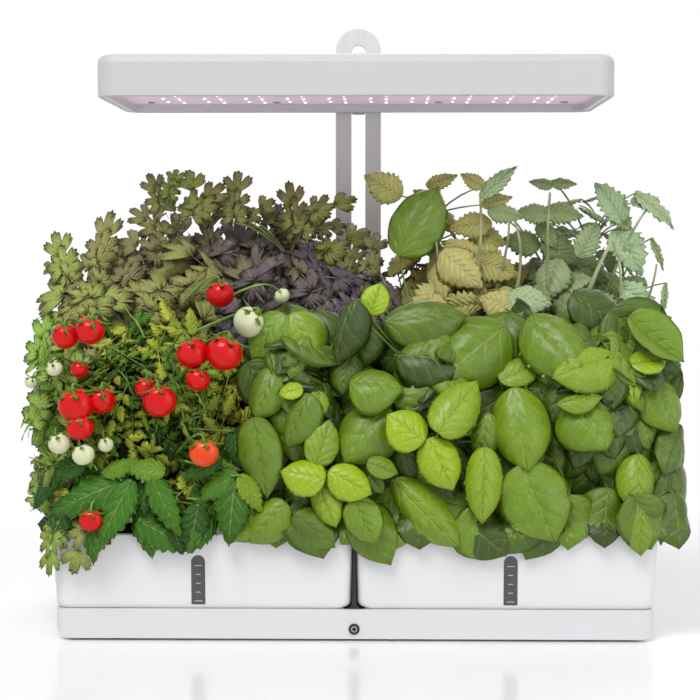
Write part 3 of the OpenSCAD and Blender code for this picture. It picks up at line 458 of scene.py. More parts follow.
hardFinishes = {
    "tankWhite": moulded("tankWhite", "e9e9ec", 0.34, 0.06, coat=0.25),
    "trayWhite": moulded("trayWhite", "dfdfe2", 0.38, 0.08, coat=0.15),
    "innerWhite": moulded("innerWhite", "dcdcdf", 0.5, 0.15),
    "lampGrey": moulded("lampGrey", "c4c4c6", 0.45, 0.1),
    "frameGrey": moulded("frameGrey", "d6d6d8", 0.4, 0.1),
    "matteBlack": moulded("matteBlack", "1f1f22", 0.5, 0.35),
    "softRubber": moulded("softRubber", "232325", 0.8, 0.5, 1500.0),
    "mastGrey": brushed("mastGrey", "d9dad9", 0.42, (900.0, 900.0, 6.0), 0.1),
    "screwSteel": brushed("screwSteel", "a9a9ad", 0.32, (600.0, 600.0, 600.0), 1.0),
    "copper": brushed("copper", "c98a58", 0.3, (60.0, 900.0, 12.0), 1.0),
    "sponge": spongeFoam(),
    "board": circuitBoard(),
    "window": levelWindow(),
    "button": buttonCap(),
    "panel": lightPanel(),
}
nodeFinishes = {
    "tankWhite": ["left_tank", "right_tank"],
    "trayWhite": ["base_tray", "mast_foot", "bottom_cover"],
    "innerWhite": ["left_deck", "right_deck"],
    "lampGrey": ["lamp_housing", "lamp_bracket"],
    "frameGrey": ["lamp_bezel"],
    "matteBlack": ["centre_divider", "dc_inlet", "clamp_knob", "mast_lead", "lamp_lead"]
                  + ["basket_%d" % i for i in range(1, 9)],
    "softRubber": ["rubber_feet", "left_window_seal", "right_window_seal"],
    "mastGrey": ["mast", "clamp_plate"],
    "screwSteel": ["bottom_screws", "mast_screws", "panel_screws", "bracket_screws"],
    "copper": ["contact_rails", "brushes"],
    "sponge": ["sponge_%d" % i for i in range(1, 9)],
    "board": ["control_board", "led_driver"],
    "window": ["left_window", "right_window"],
    "button": ["power_button"],
    "panel": ["led_panel"],
}
for finish, names in nodeFinishes.items():
    for name in names:
        nodeObjects[name].data.materials.clear()
        nodeObjects[name].data.materials.append(hardFinishes[finish])
print("CAD nodes finished")


# Leaf, stem and fruit finishes

def leafFinish(name, look):
    # tone picks the colour, which differs from leaf to leaf, and the low tones paint shade on leaves
    # that lie deep in a plant; veins, underside and rim are paler
    material, tree, shader = newMaterial(name)
    tone = named(tree, "tone")
    vein = useGroup(tree, bladeVeins, {"Pairs": look["pairs"], "Slant": look["slant"],
                                       "Fineness": look["net"]})
    mottle = noise(tree, objectPlace(tree), look["mottle"], 4.0)
    colour = ramp(tree, calc(tree, "ADD", tone, calc(
        tree, "MULTIPLY_ADD", mottle, look["drift"], -look["drift"] / 2)), look["tones"])
    turned = calc(tree, "MULTIPLY", named(tree, "under"),
                  calc(tree, "MULTIPLY_ADD", tone, 0.5, 0.12))
    for share, code in (
            (calc(tree, "MULTIPLY", vein["Veins"], look["ribShare"]), look["rib"]),
            (calc(tree, "MULTIPLY", vein["Edge"], look["rimShare"]), look["rib"]),
            (calc(tree, "MULTIPLY_ADD", vein["Net"], -0.28, 0.28), look["cell"]),
            (turned, look["pale"])):
        colour = mixColour(tree, share, colour, linear(code))
    height = calc(tree, "MULTIPLY_ADD", vein["Pads"], look["pad"], calc(
        tree, "MULTIPLY_ADD", vein["Veins"], -0.4, calc(tree, "MULTIPLY", vein["Net"], 0.3)))
    setSockets(tree, shader, {
        "Base Color": colour, "Specular IOR Level": 0.3,
        "Roughness": calc(tree, "MULTIPLY_ADD", mottle, 0.2, look["rough"] - 0.1),
        "Coat Weight": look.get("coat", 0.0), "Coat Roughness": 0.3,
        "Normal": bumped(tree, height, look["relief"], 0.0006)})
    return material


def stemFinish(name, dark, light):
    material, tree, shader = newMaterial(name)
    place = objectPlace(tree)
    setSockets(tree, shader, {
        "Base Color": ramp(tree, noise(tree, place, 60.0, 3.0), [(0.3, dark), (0.7, light)]),
        "Roughness": 0.5, "Normal": bumped(tree, noise(tree, place, 2200.0), 0.3, 0.0003)})
    return material


def fruitSkin():
    # Pale green when young, then orange, then glossy red, with tiny pale flecks
    material, tree, shader = newMaterial("fruitSkin")
    place = objectPlace(tree)
    drift = noise(tree, place, 55.0, 3.0)
    ripe = ramp(tree, calc(tree, "ADD", named(tree, "tone"),
                           calc(tree, "MULTIPLY_ADD", drift, 0.16, -0.08)),
                [(0.0, "d9dcb8"), (0.22, "c3cf92"), (0.5, "e8400c"), (0.72, "dc0c0c"),
                 (1.0, "c4040e")])
    speck = calc(tree, "LESS_THAN", cells(tree, place, 1400.0), 0.12)
    setSockets(tree, shader, {
        "Base Color": mixColour(tree, calc(tree, "MULTIPLY", speck, 0.18), ripe,
                                linear("f3c9a0")),
        "Roughness": calc(tree, "MULTIPLY_ADD", drift, 0.14, 0.16),
        "Coat Weight": 0.28, "Coat Roughness": 0.05, "Specular IOR Level": 0.12})
    return material


# The lowest tones of each ramp are darker, for the painted shade on leaves deep in a plant
leafLooks = {
    "basilLeaf": {
        "tones": [(0.0, "0f1606"), (0.25, "40580c"), (0.5, "71911a"), (0.75, "95b224"),
                  (1.0, "a8c618")],
        "rib": "bcd05a", "cell": "3a520c", "pale": "98ac54", "pairs": 5.0, "slant": 0.36,
        "net": 13.0, "mottle": 60.0, "drift": 0.2, "ribShare": 0.26, "rimShare": 0.2,
        "relief": 0.85, "pad": 1.4, "rough": 0.4, "coat": 0.3},
    "tomatoLeaf": {
        "tones": [(0.0, "14260b"), (0.3, "1f4e08"), (0.55, "437f12"), (0.8, "9cb22a"),
                  (1.0, "d0d64c")],
        "rib": "cfd97a", "cell": "1d3d10", "pale": "9aa84e", "pairs": 6.0, "slant": 0.35,
        "net": 9.0, "mottle": 90.0, "drift": 0.2, "ribShare": 0.45, "rimShare": 0.7,
        "relief": 0.7, "pad": 1.6, "rough": 0.52},
    "parsleyLeaf": {
        "tones": [(0.0, "64566c"), (0.15, "706462"), (0.35, "908a56"), (0.55, "a0a656"),
                  (0.75, "98b448"), (1.0, "92c844")],
        "rib": "b8ba8c", "cell": "484830", "pale": "acaa80", "pairs": 5.0, "slant": 0.5,
        "net": 9.0, "mottle": 45.0, "drift": 0.22, "ribShare": 0.42, "rimShare": 0.3,
        "relief": 0.8, "pad": 0.9, "rough": 0.55},
    "balmLeaf": {
        "tones": [(0.0, "86804a"), (0.3, "aaa45a"), (0.5, "bab26a"), (0.75, "ccc47c"),
                  (1.0, "d8d680")],
        "rib": "c7c98c", "cell": "4d5426", "pale": "a0a678", "pairs": 8.0, "slant": 0.3,
        "net": 12.0, "mottle": 70.0, "drift": 0.2, "ribShare": 0.45, "rimShare": 0.3,
        "relief": 0.85, "pad": 1.5, "rough": 0.55},
    "mintLeaf": {
        "tones": [(0.0, "727e54"), (0.3, "96a66c"), (0.55, "aabc88"), (0.8, "b4cc9c"),
                  (1.0, "c4dab0")],
        "rib": "cfdcb4", "cell": "48643c", "pale": "a9bd94", "pairs": 7.0, "slant": 0.3,
        "net": 12.0, "mottle": 70.0, "drift": 0.18, "ribShare": 0.45, "rimShare": 0.3,
        "relief": 0.85, "pad": 1.5, "rough": 0.55},
}
stemColours = {"basilStem": ("375218", "6c8c34"), "tomatoStem": ("3a6420", "85a84c"),
               "parsleyStem": ("4e4a2e", "86964c"), "mintStem": ("6f7a44", "b3b98a")}
leafFinishes = {name: leafFinish(name, look) for name, look in leafLooks.items()}
stemFinishes = {name: stemFinish(name, *colours) for name, colours in stemColours.items()}
fruitFinish = fruitSkin()
print("leaf, stem and fruit finishes made")


# Leaf shapes, one unit long and one unit wide, tip towards +X and face towards +Z

waves = 3   # along each edge of a blade


def twoSided(upper, lower):
    # Faces of both sides, the lower ones turned over, and a mark on each lower one
    faces = [tuple(map(int, face)) for face in upper]
    faces += [tuple(map(int, face[::-1])) for face in lower]
    return faces, [0.0] * len(upper) + [1.0] * len(lower)


def blade(look):
    # A closed two-sided leaf. Rows run along it; the first and last are single points.
    rows, cols = look["rows"], look["cols"]
    t = np.linspace(0, 1, rows + 1)[1:-1]
    ends = look.get("ends", 0.4)   # how much closer the rows lie at both ends
    u = (1 - ends) * t + ends * 0.5 * (1 - np.cos(np.pi * t))
    a, b = look["outline"]         # where it is widest, and how blunt it is
    tooth = np.abs((u * look.get("teeth", 0)) % 1 - 0.5) * 2
    half = (0.5 * np.sin(np.pi * u ** a) ** b * (1 - look.get("taper", 0.0) * u ** 5)
            * (1 - u ** look.get("point", 60)) * (1 - look.get("notch", 0) * tooth))
    uu, vv = np.meshgrid(u, np.linspace(-1, 1, 2 * cols + 1), indexing="ij")
    half, tooth, out = half[:, None], tooth[:, None], np.abs(vv)
    curl = look["curl"]
    width = half * np.sin(vv * curl) / np.sin(curl)
    lift = half * (np.cos(vv * curl) - 1) / np.sin(curl)
    phase = (uu - look["slant"] * out ** 0.8) * look["pairs"]
    full = np.sin(np.pi * uu) ** 0.5
    # Pads between the side veins, a groove along the middle, raised halves and a wavy edge
    lift += look.get("quilt", 0.0) * np.abs(np.sin(np.pi * phase)) * (1 - out ** 3) * full
    lift -= look.get("groove", 0.02) * np.exp(-(vv / 0.1) ** 2) * full
    lift += look.get("fold", 0.0) * half * out
    lift += look.get("wave", 0.0) * np.sin(uu * waves * 6.28 + np.sign(vv)) * out ** 2
    turn = look.get("twist", 0.0) * (uu - 0.5)
    across = width * np.cos(turn) - lift * np.sin(turn)
    up = width * np.sin(turn) + lift * np.cos(turn)
    bend = look["bend"]
    angle = (uu - 0.5) * bend
    x = (np.sin(angle) * (1 / bend + up * look.get("pull", 1.0))
         - look.get("sweep", 0.0) * tooth * out)
    z = (np.cos(angle) - 1) / bend + np.cos(angle) * up
    thick = look.get("thick", 0.016) * (1 - out ** 4)
    top = np.stack([x, across, z], -1)
    under = top - np.stack([np.sin(angle) * thick, 0 * thick, np.cos(angle) * thick], -1)
    tips = [[math.sin(s * bend / 2) / bend, 0, (math.cos(bend / 2) - 1) / bend] for s in (-1, 1)]
    flat = np.stack([uu, (vv + 1) / 2], -1)
    verts = np.concatenate([tips, top.reshape(-1, 3), under[:, 1:-1].reshape(-1, 3)])
    mapped = np.concatenate([[[0, 0.5], [1, 0.5]], flat.reshape(-1, 2),
                             flat[:, 1:-1].reshape(-1, 2)])
    n, wide = uu.shape
    topAt = 2 + np.arange(n * wide).reshape(n, wide)
    lowAt = topAt.copy()
    lowAt[:, 1:-1] = 2 + n * wide + np.arange(n * (wide - 2)).reshape(n, wide - 2)
    sides = []
    for grid in (topAt, lowAt):
        made = [(grid[i, j], grid[i + 1, j], grid[i + 1, j + 1], grid[i, j + 1])
                for i in range(n - 1) for j in range(wide - 1)]
        made += [(0, grid[0, j], grid[0, j + 1]) for j in range(wide - 1)]
        sides.append(made + [(grid[-1, j], 1, grid[-1, j + 1]) for j in range(wide - 1)])
    faces, low = twoSided(*sides)
    return {"verts": verts, "faces": faces, "map": mapped, "under": low}


def fan(look):
    # A cut leaflet: lobes round a short stalk, two rings of faces a side
    points = look["points"]
    t = np.linspace(-1, 1, points)
    angle = t * math.radians(look["spread"])
    lobe = np.abs(np.cos(t * math.pi * look["lobes"] / 2))
    tooth = np.where(np.arange(points) % 2 == 0, 1.0, look["tooth"])
    reach = (look["waist"] + (1 - look["waist"]) * lobe ** 0.5) * tooth
    reach = reach * (1 - look["narrow"] * t ** 2)
    start = -0.5

    def ring(share, lift):
        far = share * reach
        return np.stack([start + far * np.cos(angle), far * np.sin(angle) * look["wide"],
                         -look["droop"] * far ** 2 + lift], -1)

    inner = ring(0.5, 0.03)
    verts = np.concatenate([[[start, 0, 0]], ring(1.0, look["ruffle"] * np.sin(t * 9.0)), inner,
                            inner - [0, 0, 0.02]])
    sides = []
    for first in (1 + points, 1 + 2 * points):
        made = []
        for j in range(points - 1):
            made += [(0, first + j, first + j + 1), (first + j, 1 + j, 2 + j, first + j + 1)]
        sides.append(made + [(0, 1, first), (0, first + points - 1, points)])
    faces, low = twoSided(*sides)
    return {"verts": verts, "faces": faces, "map": verts[:, :2] + 0.5, "under": low}


def stretched(shape, size):
    return {**shape, "verts": shape["verts"] * size}


def turned(shape, at, along, facing, size):
    along = np.array(along, float) / np.linalg.norm(along)
    facing = np.array(facing, float)
    facing = facing - along * (facing @ along)
    facing = facing / np.linalg.norm(facing)
    across = np.cross(facing, along)
    verts = shape["verts"] * size
    moved = np.array(at) + verts[:, :1] * along + verts[:, 1:2] * across + verts[:, 2:] * facing
    return {**shape, "verts": moved}


def stalk(start, end, thick):
    # Three-sided stalk between two points
    along = (end - start) / np.linalg.norm(end - start)
    side = np.cross(along, [0, 0, 1.0])
    side = side / np.linalg.norm(side)
    up = np.cross(side, along)
    ring = [math.cos(k * math.tau / 3) * side + math.sin(k * math.tau / 3) * up for k in range(3)]
    verts = np.array([start + thick * r for r in ring] + [end + 0.7 * thick * r for r in ring])
    faces = [(2, 1, 0), (3, 4, 5), (0, 1, 4, 3), (1, 2, 5, 4), (2, 0, 3, 5)]
    return {"verts": verts, "faces": faces, "map": np.full((6, 2), 0.5), "under": [0.3] * 5}


def merged(shapes):
    verts, faces, flat, low, base = [], [], [], [], 0
    for shape in shapes:
        verts.append(shape["verts"])
        flat.append(shape["map"])
        faces += [tuple(i + base for i in face) for face in shape["faces"]]
        low += shape["under"]
        base += len(shape["verts"])
    return {"verts": np.concatenate(verts), "faces": faces, "map": np.concatenate(flat),
            "under": low}


def spray(count, leaflet, reach, seed, spread):
    # Leaflets in pairs along a bent stalk, with one at its end, 1.2 units long in all
    rng = np.random.default_rng(seed)
    thick = 0.012

    def along(t):
        return np.array([-0.5 + t, 0, -0.12 * t * t])

    parts = [stalk(along(0), along(0.45), thick), stalk(along(0.45), along(0.85), thick * 0.8)]
    for k in range(count):
        root = along(0.25 + 0.5 * k / count)
        for s in (-1, 1):
            a = math.radians(spread + rng.uniform(-12, 12))
            out = np.array([math.cos(a), s * math.sin(a), rng.uniform(-0.3, 0.2)])
            size = reach * rng.uniform(0.85, 1.1) * (1 - 0.15 * abs(k - count / 2))
            facing = np.array([rng.uniform(-0.3, 0.3), rng.uniform(-0.3, 0.3), 1])
            parts.append(turned(leaflet, root + out * size * 0.5, out, facing, size))
    end = along(0.85) + np.array([reach * 0.5, 0, -0.05])
    parts.append(turned(leaflet, end, [1, 0, rng.uniform(-0.3, 0)], [0.1, 0, 1], reach * 1.15))
    whole = merged(parts)
    first, last = whole["verts"][:, 0].min(), whole["verts"][:, 0].max()
    whole["verts"] = (whole["verts"] - [(first + last) / 2, 0, 0]) * 1.2 / (last - first)
    return whole


basilBase = {"rows": 30, "cols": 7, "outline": (0.84, 0.5), "pairs": 5, "slant": 0.36,
             "quilt": 0.03, "groove": 0.05, "curl": 1.15, "bend": 1.0, "wave": 0.012,
             "taper": 0.1, "ends": 0.9, "point": 10, "pull": 0.15}
midBase = {**basilBase, "rows": 14, "cols": 4, "quilt": 0.0}
plainBase = {**basilBase, "rows": 9, "cols": 3, "quilt": 0.0}
basilShapes = {
    "domed": blade(basilBase),
    "quilted": blade({**basilBase, "quilt": 0.055, "curl": 0.85, "bend": 0.7}),
    "flat": blade({**basilBase, "curl": 0.55, "bend": 0.5, "wave": 0.025, "twist": 0.2}),
    "rolled": blade({**basilBase, "curl": 1.5, "bend": 1.1, "quilt": 0.02}),
    "boat": blade({**basilBase, "curl": 0.3, "fold": 0.55, "bend": -0.5}),
    "young": blade({**basilBase, "quilt": 0.05, "curl": 0.6, "fold": 0.2, "bend": 0.4}),
    "slim": blade({**basilBase, "curl": 0.9, "outline": (0.85, 0.9), "bend": 1.0}),
    "full": blade(midBase),
    "drooped": blade({**midBase, "bend": 1.6, "curl": 0.9}),
    "turnedUp": blade({**midBase, "fold": 0.3, "curl": 0.6, "bend": 0.5, "twist": -0.4}),
    "plain": blade(plainBase),
    "plainFlat": blade({**plainBase, "curl": 0.5, "bend": 0.5, "twist": 0.3}),
    "plainRolled": blade({**plainBase, "curl": 1.3, "bend": 1.2, "wave": 0.03}),
}
crinkled = {"rows": 32, "cols": 5, "outline": (0.74, 0.8), "teeth": 8, "notch": 0.24,
            "sweep": 0.03, "pairs": 8, "slant": 0.3, "quilt": 0.035, "groove": 0.04,
            "curl": 0.5, "bend": 0.6, "wave": 0.02, "taper": 0.2}
plainCrinkled = {**crinkled, "rows": 22, "cols": 2, "teeth": 6, "quilt": 0.0}
mintShapes = {
    "balm": blade(crinkled),
    "mint": blade({**crinkled, "curl": 0.3, "bend": 1.0, "fold": 0.15, "notch": 0.32,
                   "wave": 0.04}),
    "quilted": blade({**crinkled, "quilt": 0.05, "curl": 0.7, "notch": 0.1}),
    "plain": blade(plainCrinkled),
    "plainBent": blade({**plainCrinkled, "bend": 1.2, "twist": 0.5}),
}
cutLeaf = {"points": 25, "lobes": 3, "spread": 58, "tooth": 0.9, "waist": 0.55, "narrow": 0.24,
           "wide": 1.12, "droop": 0.3, "ruffle": 0.04}
parsleyShapes = {
    "frondA": spray(2, fan(cutLeaf), 0.62, 11, 58),
    "frondB": spray(2, fan({**cutLeaf, "droop": 0.4, "waist": 0.48}), 0.6, 12, 66),
    "frondC": spray(1, fan({**cutLeaf, "ruffle": 0.07, "spread": 66}), 0.7, 13, 55),
}
toothedLeaf = {"rows": 12, "cols": 2, "outline": (0.72, 0.8), "teeth": 4, "notch": 0.42,
               "sweep": 0.05, "pairs": 4, "slant": 0.35, "quilt": 0.02, "curl": 0.5,
               "bend": 0.9, "twist": 0.5, "wave": 0.05}
curly = blade({**toothedLeaf, "rows": 9, "teeth": 3, "outline": (0.7, 1.0), "cols": 1,
               "thick": 0.02})
tomatoShapes = {
    "broad": blade({**toothedLeaf, "rows": 28, "cols": 5, "teeth": 7, "notch": 0.24,
                    "sweep": 0.04, "pairs": 6, "quilt": 0.04, "twist": 0.2, "wave": 0.02,
                    "bend": 0.7}),
    "sprayA": spray(3, stretched(curly, [1, 0.58, 0.8]), 0.44, 21, 62),
    "sprayB": spray(3, stretched(curly, [1, 0.65, 1.1]), 0.40, 22, 75),
    "sprayC": spray(2, stretched(blade(toothedLeaf), [1, 0.7, 0.9]), 0.50, 23, 50),
}


# Round shapes and sepals: fruit, calyx, screws and diodes

def lathe(profile, segments, squeeze=0.0, lobes=0):
    # Round shape about Z from (radius, height) pairs; ends on the axis are single points
    verts, faces, rings = [], [], []
    for r, z in profile:
        if r == 0:
            rings.append([len(verts)])
            verts.append((0, 0, z))
            continue
        rings.append(list(range(len(verts), len(verts) + segments)))
        for k in range(segments):
            a = 2 * math.pi * k / segments
            rr = r * (1 + squeeze * math.cos(lobes * a))
            verts.append((rr * math.cos(a), rr * math.sin(a), z))
    for lower, upper in zip(rings, rings[1:]):
        for k in range(segments):
            n = (k + 1) % segments
            if len(lower) == 1:
                faces.append((lower[0], upper[n], upper[k]))
            elif len(upper) == 1:
                faces.append((lower[k], lower[n], upper[0]))
            else:
                faces.append((lower[k], lower[n], upper[n], upper[k]))
    verts = np.array(verts, float)
    return {"verts": verts, "faces": faces, "map": verts[:, :2] + 0.5,
            "under": [0.0] * len(faces)}


def ball(rings, segments, flat):
    # A fruit, one unit across, hollowed a little where its stalk joins on top
    profile = []
    for k in range(rings + 1):
        a = math.pi * k / rings
        r, z = 0.5 * math.sin(a), -0.5 * flat * math.cos(a)
        dimple = 0.07 * math.exp(-((math.pi - a) / 0.35) ** 2)
        profile.append((0 if k in (0, rings) else r, z - dimple))
    return lathe(profile, segments, 0.012, 5)


def calyx():
    # Five narrow sepals that curl up round the stalk, with a hub
    sepal = blade({"rows": 7, "cols": 1, "outline": (0.55, 1.0), "pairs": 3, "slant": 0.3,
                   "curl": 0.5, "bend": -1.3, "twist": 0.3, "thick": 0.03})
    parts = []
    for k in range(5):
        a = 2 * math.pi * k / 5
        out = np.array([math.cos(a), math.sin(a), -0.12])
        parts.append(turned(sepal, out * 0.26, out, (0, 0, 1), [0.52, 0.16, 0.3]))
    parts.append(lathe([(0, -0.04), (0.07, -0.02), (0.05, 0.06), (0, 0.08)], 6))
    return merged(parts)


def crossHead():
    # Round screw head, one unit across, with a cross sunk into its domed face
    head = lathe([(0, -0.3), (0.24, -0.3), (0.5, -0.28), (0.5, -0.06), (0.44, 0.03),
                  (0.3, 0.09), (0.14, 0.11), (0, 0.12)], 16)
    for vert in head["verts"]:
        x, y, z = vert
        if z > 0.05 and math.hypot(x, y) < 0.35 and min(abs(x), abs(y)) < 0.02:
            vert[2] -= 0.2
    return head


def threadedShaft():
    # One unit long below its head, with ridges for the thread
    profile = [(0, -1.0), (0.3, -0.98)]
    for k in range(10):
        profile += [(0.5, -0.94 + 0.094 * k), (0.4, -0.90 + 0.094 * k)]
    return lathe(profile + [(0.42, 0.0), (0, 0.0)], 10)


def diodeShape():
    # White frame with a domed lens that faces +Z, turned so that its sides lie square
    plain = lathe([(0, -0.1), (0.62, -0.1), (0.66, -0.06), (0.66, 0.1), (0.6, 0.13), (0.42, 0.13),
                   (0.40, 0.2), (0.24, 0.3), (0, 0.34)], 8)
    side = (math.cos(math.pi / 8), math.sin(math.pi / 8), 0)
    shape = turned(plain, (0, 0, 0), side, (0, 0, 1), 1.0)
    corners = [[shape["verts"][i] for i in face] for face in shape["faces"]]
    shape["under"] = [1.0 if min(c[2] for c in face) > 0.125 and
                      max(math.hypot(*c[:2]) for c in face) < 0.5 else 0.0 for face in corners]
    return shape


def shapeObject(name, shape):
    mesh = bpy.data.meshes.new(name)
    mesh.from_pydata(shape["verts"].tolist(), [], shape["faces"])
    mesh.update()
    loops = np.zeros(len(mesh.loops), int)
    mesh.loops.foreach_get("vertex_index", loops)
    uv = mesh.uv_layers.new(name="bladeMap")
    uv.data.foreach_set("uv", shape["map"][loops].astype(np.float32).ravel())
    low = mesh.attributes.new("under", "FLOAT", "FACE")
    low.data.foreach_set("value", shape["under"])
    mesh.polygons.foreach_set("use_smooth", [True] * len(mesh.polygons))
    return bpy.data.objects.new(name, mesh)


def shapeSet(name, shapes):
    # A collection outside the scene; its order is that of the numbered names
    collection = bpy.data.collections.new(name + "Shapes")
    for k, (label, shape) in enumerate(shapes.items()):
        collection.objects.link(shapeObject("%02d%s" % (k, label), shape))
    return {"collection": collection, "order": list(shapes)}


shapeSets = {name: shapeSet(name, shapes) for name, shapes in {
    "basil": basilShapes, "mint": mintShapes, "parsley": parsleyShapes, "tomato": tomatoShapes,
    "fruit": {"fruit": ball(14, 20, 0.94)}, "calyx": {"calyx": calyx()},
    "screw": {"cross": crossHead(), "shaft": threadedShaft()},
    "diode": {"diode": diodeShape()}}.items()}
print("leaf, fruit, screw and diode shapes made")


# The scatter, a Geometry Nodes tree that sets a shape on every place it is given

def buildScatter():
    tree, given, out = newGroup("shapeScatter", "GeometryNodeTree", [
        ("Places", "NodeSocketGeometry", None), ("Shapes", "NodeSocketCollection", None),
        ("Finish", "NodeSocketMaterial", None), ("Growth", "NodeSocketFloat", 1.0)],
        [("Result", "NodeSocketGeometry")])
    tree.is_modifier = True

    def stored(name, kind):
        return addNode(tree, "GeometryNodeInputNamedAttribute", {"Name": name},
                       data_type=kind).outputs["Attribute"]

    turn = addNode(tree, "FunctionNodeAxesToRotation", {
        "Primary Axis": stored("facing", "FLOAT_VECTOR"),
        "Secondary Axis": stored("along", "FLOAT_VECTOR")},
        primary_axis="Z", secondary_axis="X")
    grown = addNode(tree, "ShaderNodeVectorMath", {0: stored("size", "FLOAT_VECTOR"),
                    "Scale": given["Growth"]}, operation="SCALE")
    shapes = addNode(tree, "GeometryNodeCollectionInfo", {
        "Collection": given["Shapes"], "Separate Children": True, "Reset Children": True})
    placed = addNode(tree, "GeometryNodeInstanceOnPoints", {
        "Points": given["Places"], "Instance": shapes.outputs[0], "Pick Instance": True,
        "Instance Index": stored("kind", "INT"), "Rotation": turn.outputs[0],
        "Scale": grown.outputs[0]})
    real = addNode(tree, "GeometryNodeRealizeInstances", {0: placed.outputs[0]})
    finished = addNode(tree, "GeometryNodeSetMaterial", {
        "Geometry": real.outputs[0], "Material": given["Finish"]})
    setSockets(tree, out, {"Result": finished.outputs[0]})
    return tree


shapeScatter = buildScatter()
scatterInputs = {item.name: item.identifier for item in shapeScatter.interface.items_tree
                 if item.in_out == "INPUT"}


def settled(holder, name):
    # The evaluated result as a plain mesh object
    graph = bpy.context.evaluated_depsgraph_get()
    mesh = bpy.data.meshes.new_from_object(holder.evaluated_get(graph))
    piece = bpy.data.objects.new(name, mesh)
    bpy.context.collection.objects.link(piece)
    bpy.data.objects.remove(holder)
    return piece


def spot(kind, at, along, facing, size, tone=0.0):
    return {"kind": kind, "at": at, "along": along, "facing": facing, "size": size, "tone": tone}


def scatter(name, rows, shapes, finish, growth=1.0):
    # One shape on every row's place, out of the named set of shapes
    order = shapeSets[shapes]["order"]
    mesh = bpy.data.meshes.new(name + "Places")
    mesh.from_pydata([row["at"] for row in rows], [], [])
    columns = [(key, "FLOAT_VECTOR", "vector", np.array([row[key] for row in rows], np.float32))
               for key in ("along", "facing", "size")]
    columns += [("kind", "INT", "value", np.array([order.index(row["kind"]) for row in rows])),
                ("tone", "FLOAT", "value", np.array([float(row["tone"]) for row in rows]))]
    for key, kind, field, values in columns:
        mesh.attributes.new(key, kind, "POINT").data.foreach_set(field, values.ravel())
    holder = bpy.data.objects.new(name + "Places", mesh)
    bpy.context.collection.objects.link(holder)
    modifier = holder.modifiers.new("scatter", "NODES")
    modifier.node_group = shapeScatter
    modifier[scatterInputs["Shapes"]] = shapeSets[shapes]["collection"]
    modifier[scatterInputs["Finish"]] = finish
    modifier[scatterInputs["Growth"]] = growth
    piece = settled(holder, name)
    for key in ("along", "facing", "size", "kind"):
        if key in piece.data.attributes:
            piece.data.attributes.remove(piece.data.attributes[key])
    return piece


# Screws and diodes, set where the frame's own solids are

def towards(axis, sign):
    return np.array([sign if i == axis else 0.0 for i in range(3)])


# The way each head looks, by the axis its screw lies along
screwSets = {
    "bottom_screws": {"body": "base", "heads": {2: -1}},
    "panel_screws": {"body": "lamp", "heads": {2: -1}},
    "bracket_screws": {"body": "lamp", "heads": {1: -1}},
    "mast_screws": {"body": "base", "heads": {1: 1, 2: -1}},
}
screwHead = {"width": 5.6, "height": 1.4, "shaft": 2.8}
headSpan = {"above": 0.286, "whole": 0.42}   # of the head's shape, in its own units


def setScrews():
    width, height, shaft = (screwHead[key] * mm for key in ("width", "height", "shaft"))
    for node, look in screwSets.items():
        rows = []
        for low, high in solidsOf(node):
            axis = max(look["heads"], key=lambda a: (high - low)[a])
            facing = towards(axis, look["heads"][axis])
            along = towards((axis + 1) % 3, 1.0)
            end = (low + high) / 2
            end[axis] = np.where(facing > 0, high, low)[axis]
            rows.append(spot("cross", end - facing * height * headSpan["above"], along, facing,
                             (width, width, height / headSpan["whole"])))
            rows.append(spot("shaft", end - facing * height, along, facing,
                             (shaft, shaft, (high - low)[axis] - height)))
        piece = scatter(node + "_cross", rows, "screw", hardFinishes["screwSteel"])
        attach(piece, look["body"])
        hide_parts(node)


diodeFit = {"wide": 0.70, "high": 0.36}   # shares of the CAD block that the shape fills


def setDiodes():
    for node, (code, strength, slot) in diodeLooks.items():
        rows = []
        for low, high in solidsOf(node):
            at = (low + high) / 2
            at[2] = high[2]
            wide = (high[0] - low[0]) * diodeFit["wide"]
            rows.append(spot("diode", at, (1, 0, 0), (0, 0, -1),
                             (wide, wide, (high[2] - low[2]) / diodeFit["high"])))
        piece = scatter(node + "_domed", rows, "diode", diode(node, code, strength))
        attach(piece, "lamp")
        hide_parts(node)


setScrews()
setDiodes()
print("screws and diodes set")


# What the plants stand on and keep clear of

tankLow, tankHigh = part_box("right_tank")
room = {
    "rim": tankHigh[2], "out": tankHigh[0], "front": tankLow[1], "back": tankHigh[1],
    "lifted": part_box("right_deck")[1][2] + 42 * mm,   # over the other deck when it is lifted
    "mastHalf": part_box("mast")[1][0] + 2 * mm, "mastFront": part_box("mast_foot")[0][1] - 1.5 * mm,
}
# How the foliage gives way
keep = {
    "wall": 1.0 * mm, "rim": 3.4 * mm, "pod": 15 * mm,
    "outside": 6 * mm, "inside": 25 * mm, "insideEnd": 12 * mm,   # folded round a tank's walls
    "fadeFrom": 10 * mm, "fadeOver": 8 * mm,                      # above the rim
    "behind": 30 * mm, "sunkShare": 0.03,
    "mastOutside": 10 * mm, "mastInside": 42 * mm, "mastSide": 26 * mm, "mastFade": 14 * mm,
}
# Axis, side and depth of the soft last stretch inside the plants' whole box, in mm
softEdges = ((0, -1, 12), (0, 1, 12), (1, -1, 7), (1, 1, 12), (2, 1, 12))
plantBoxes = [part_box(name) for name in (
    "tomato_plant", "basil_left", "basil_middle", "basil_right", "parsley_left",
    "parsley_middle", "mint_middle", "mint_right")]
plantBox = (np.min([b[0] for b in plantBoxes], 0) + 0.1 * mm,
            np.max([b[1] for b in plantBoxes], 0) - 0.1 * mm)


def podPlace(k):
    low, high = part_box("basket_%d" % k)
    return np.array([(low[0] + high[0]) / 2, (low[1] + high[1]) / 2, high[2]])


podPlaces = [podPlace(k) for k in range(1, 9)]


def squeezed(gap, outer, inner):
    # Depths from -outer to inner fold into the last stretch outside a wall, in the same order
    share = (gap + outer) / (outer + inner)
    return -outer + share * (outer - 0.3 * mm)


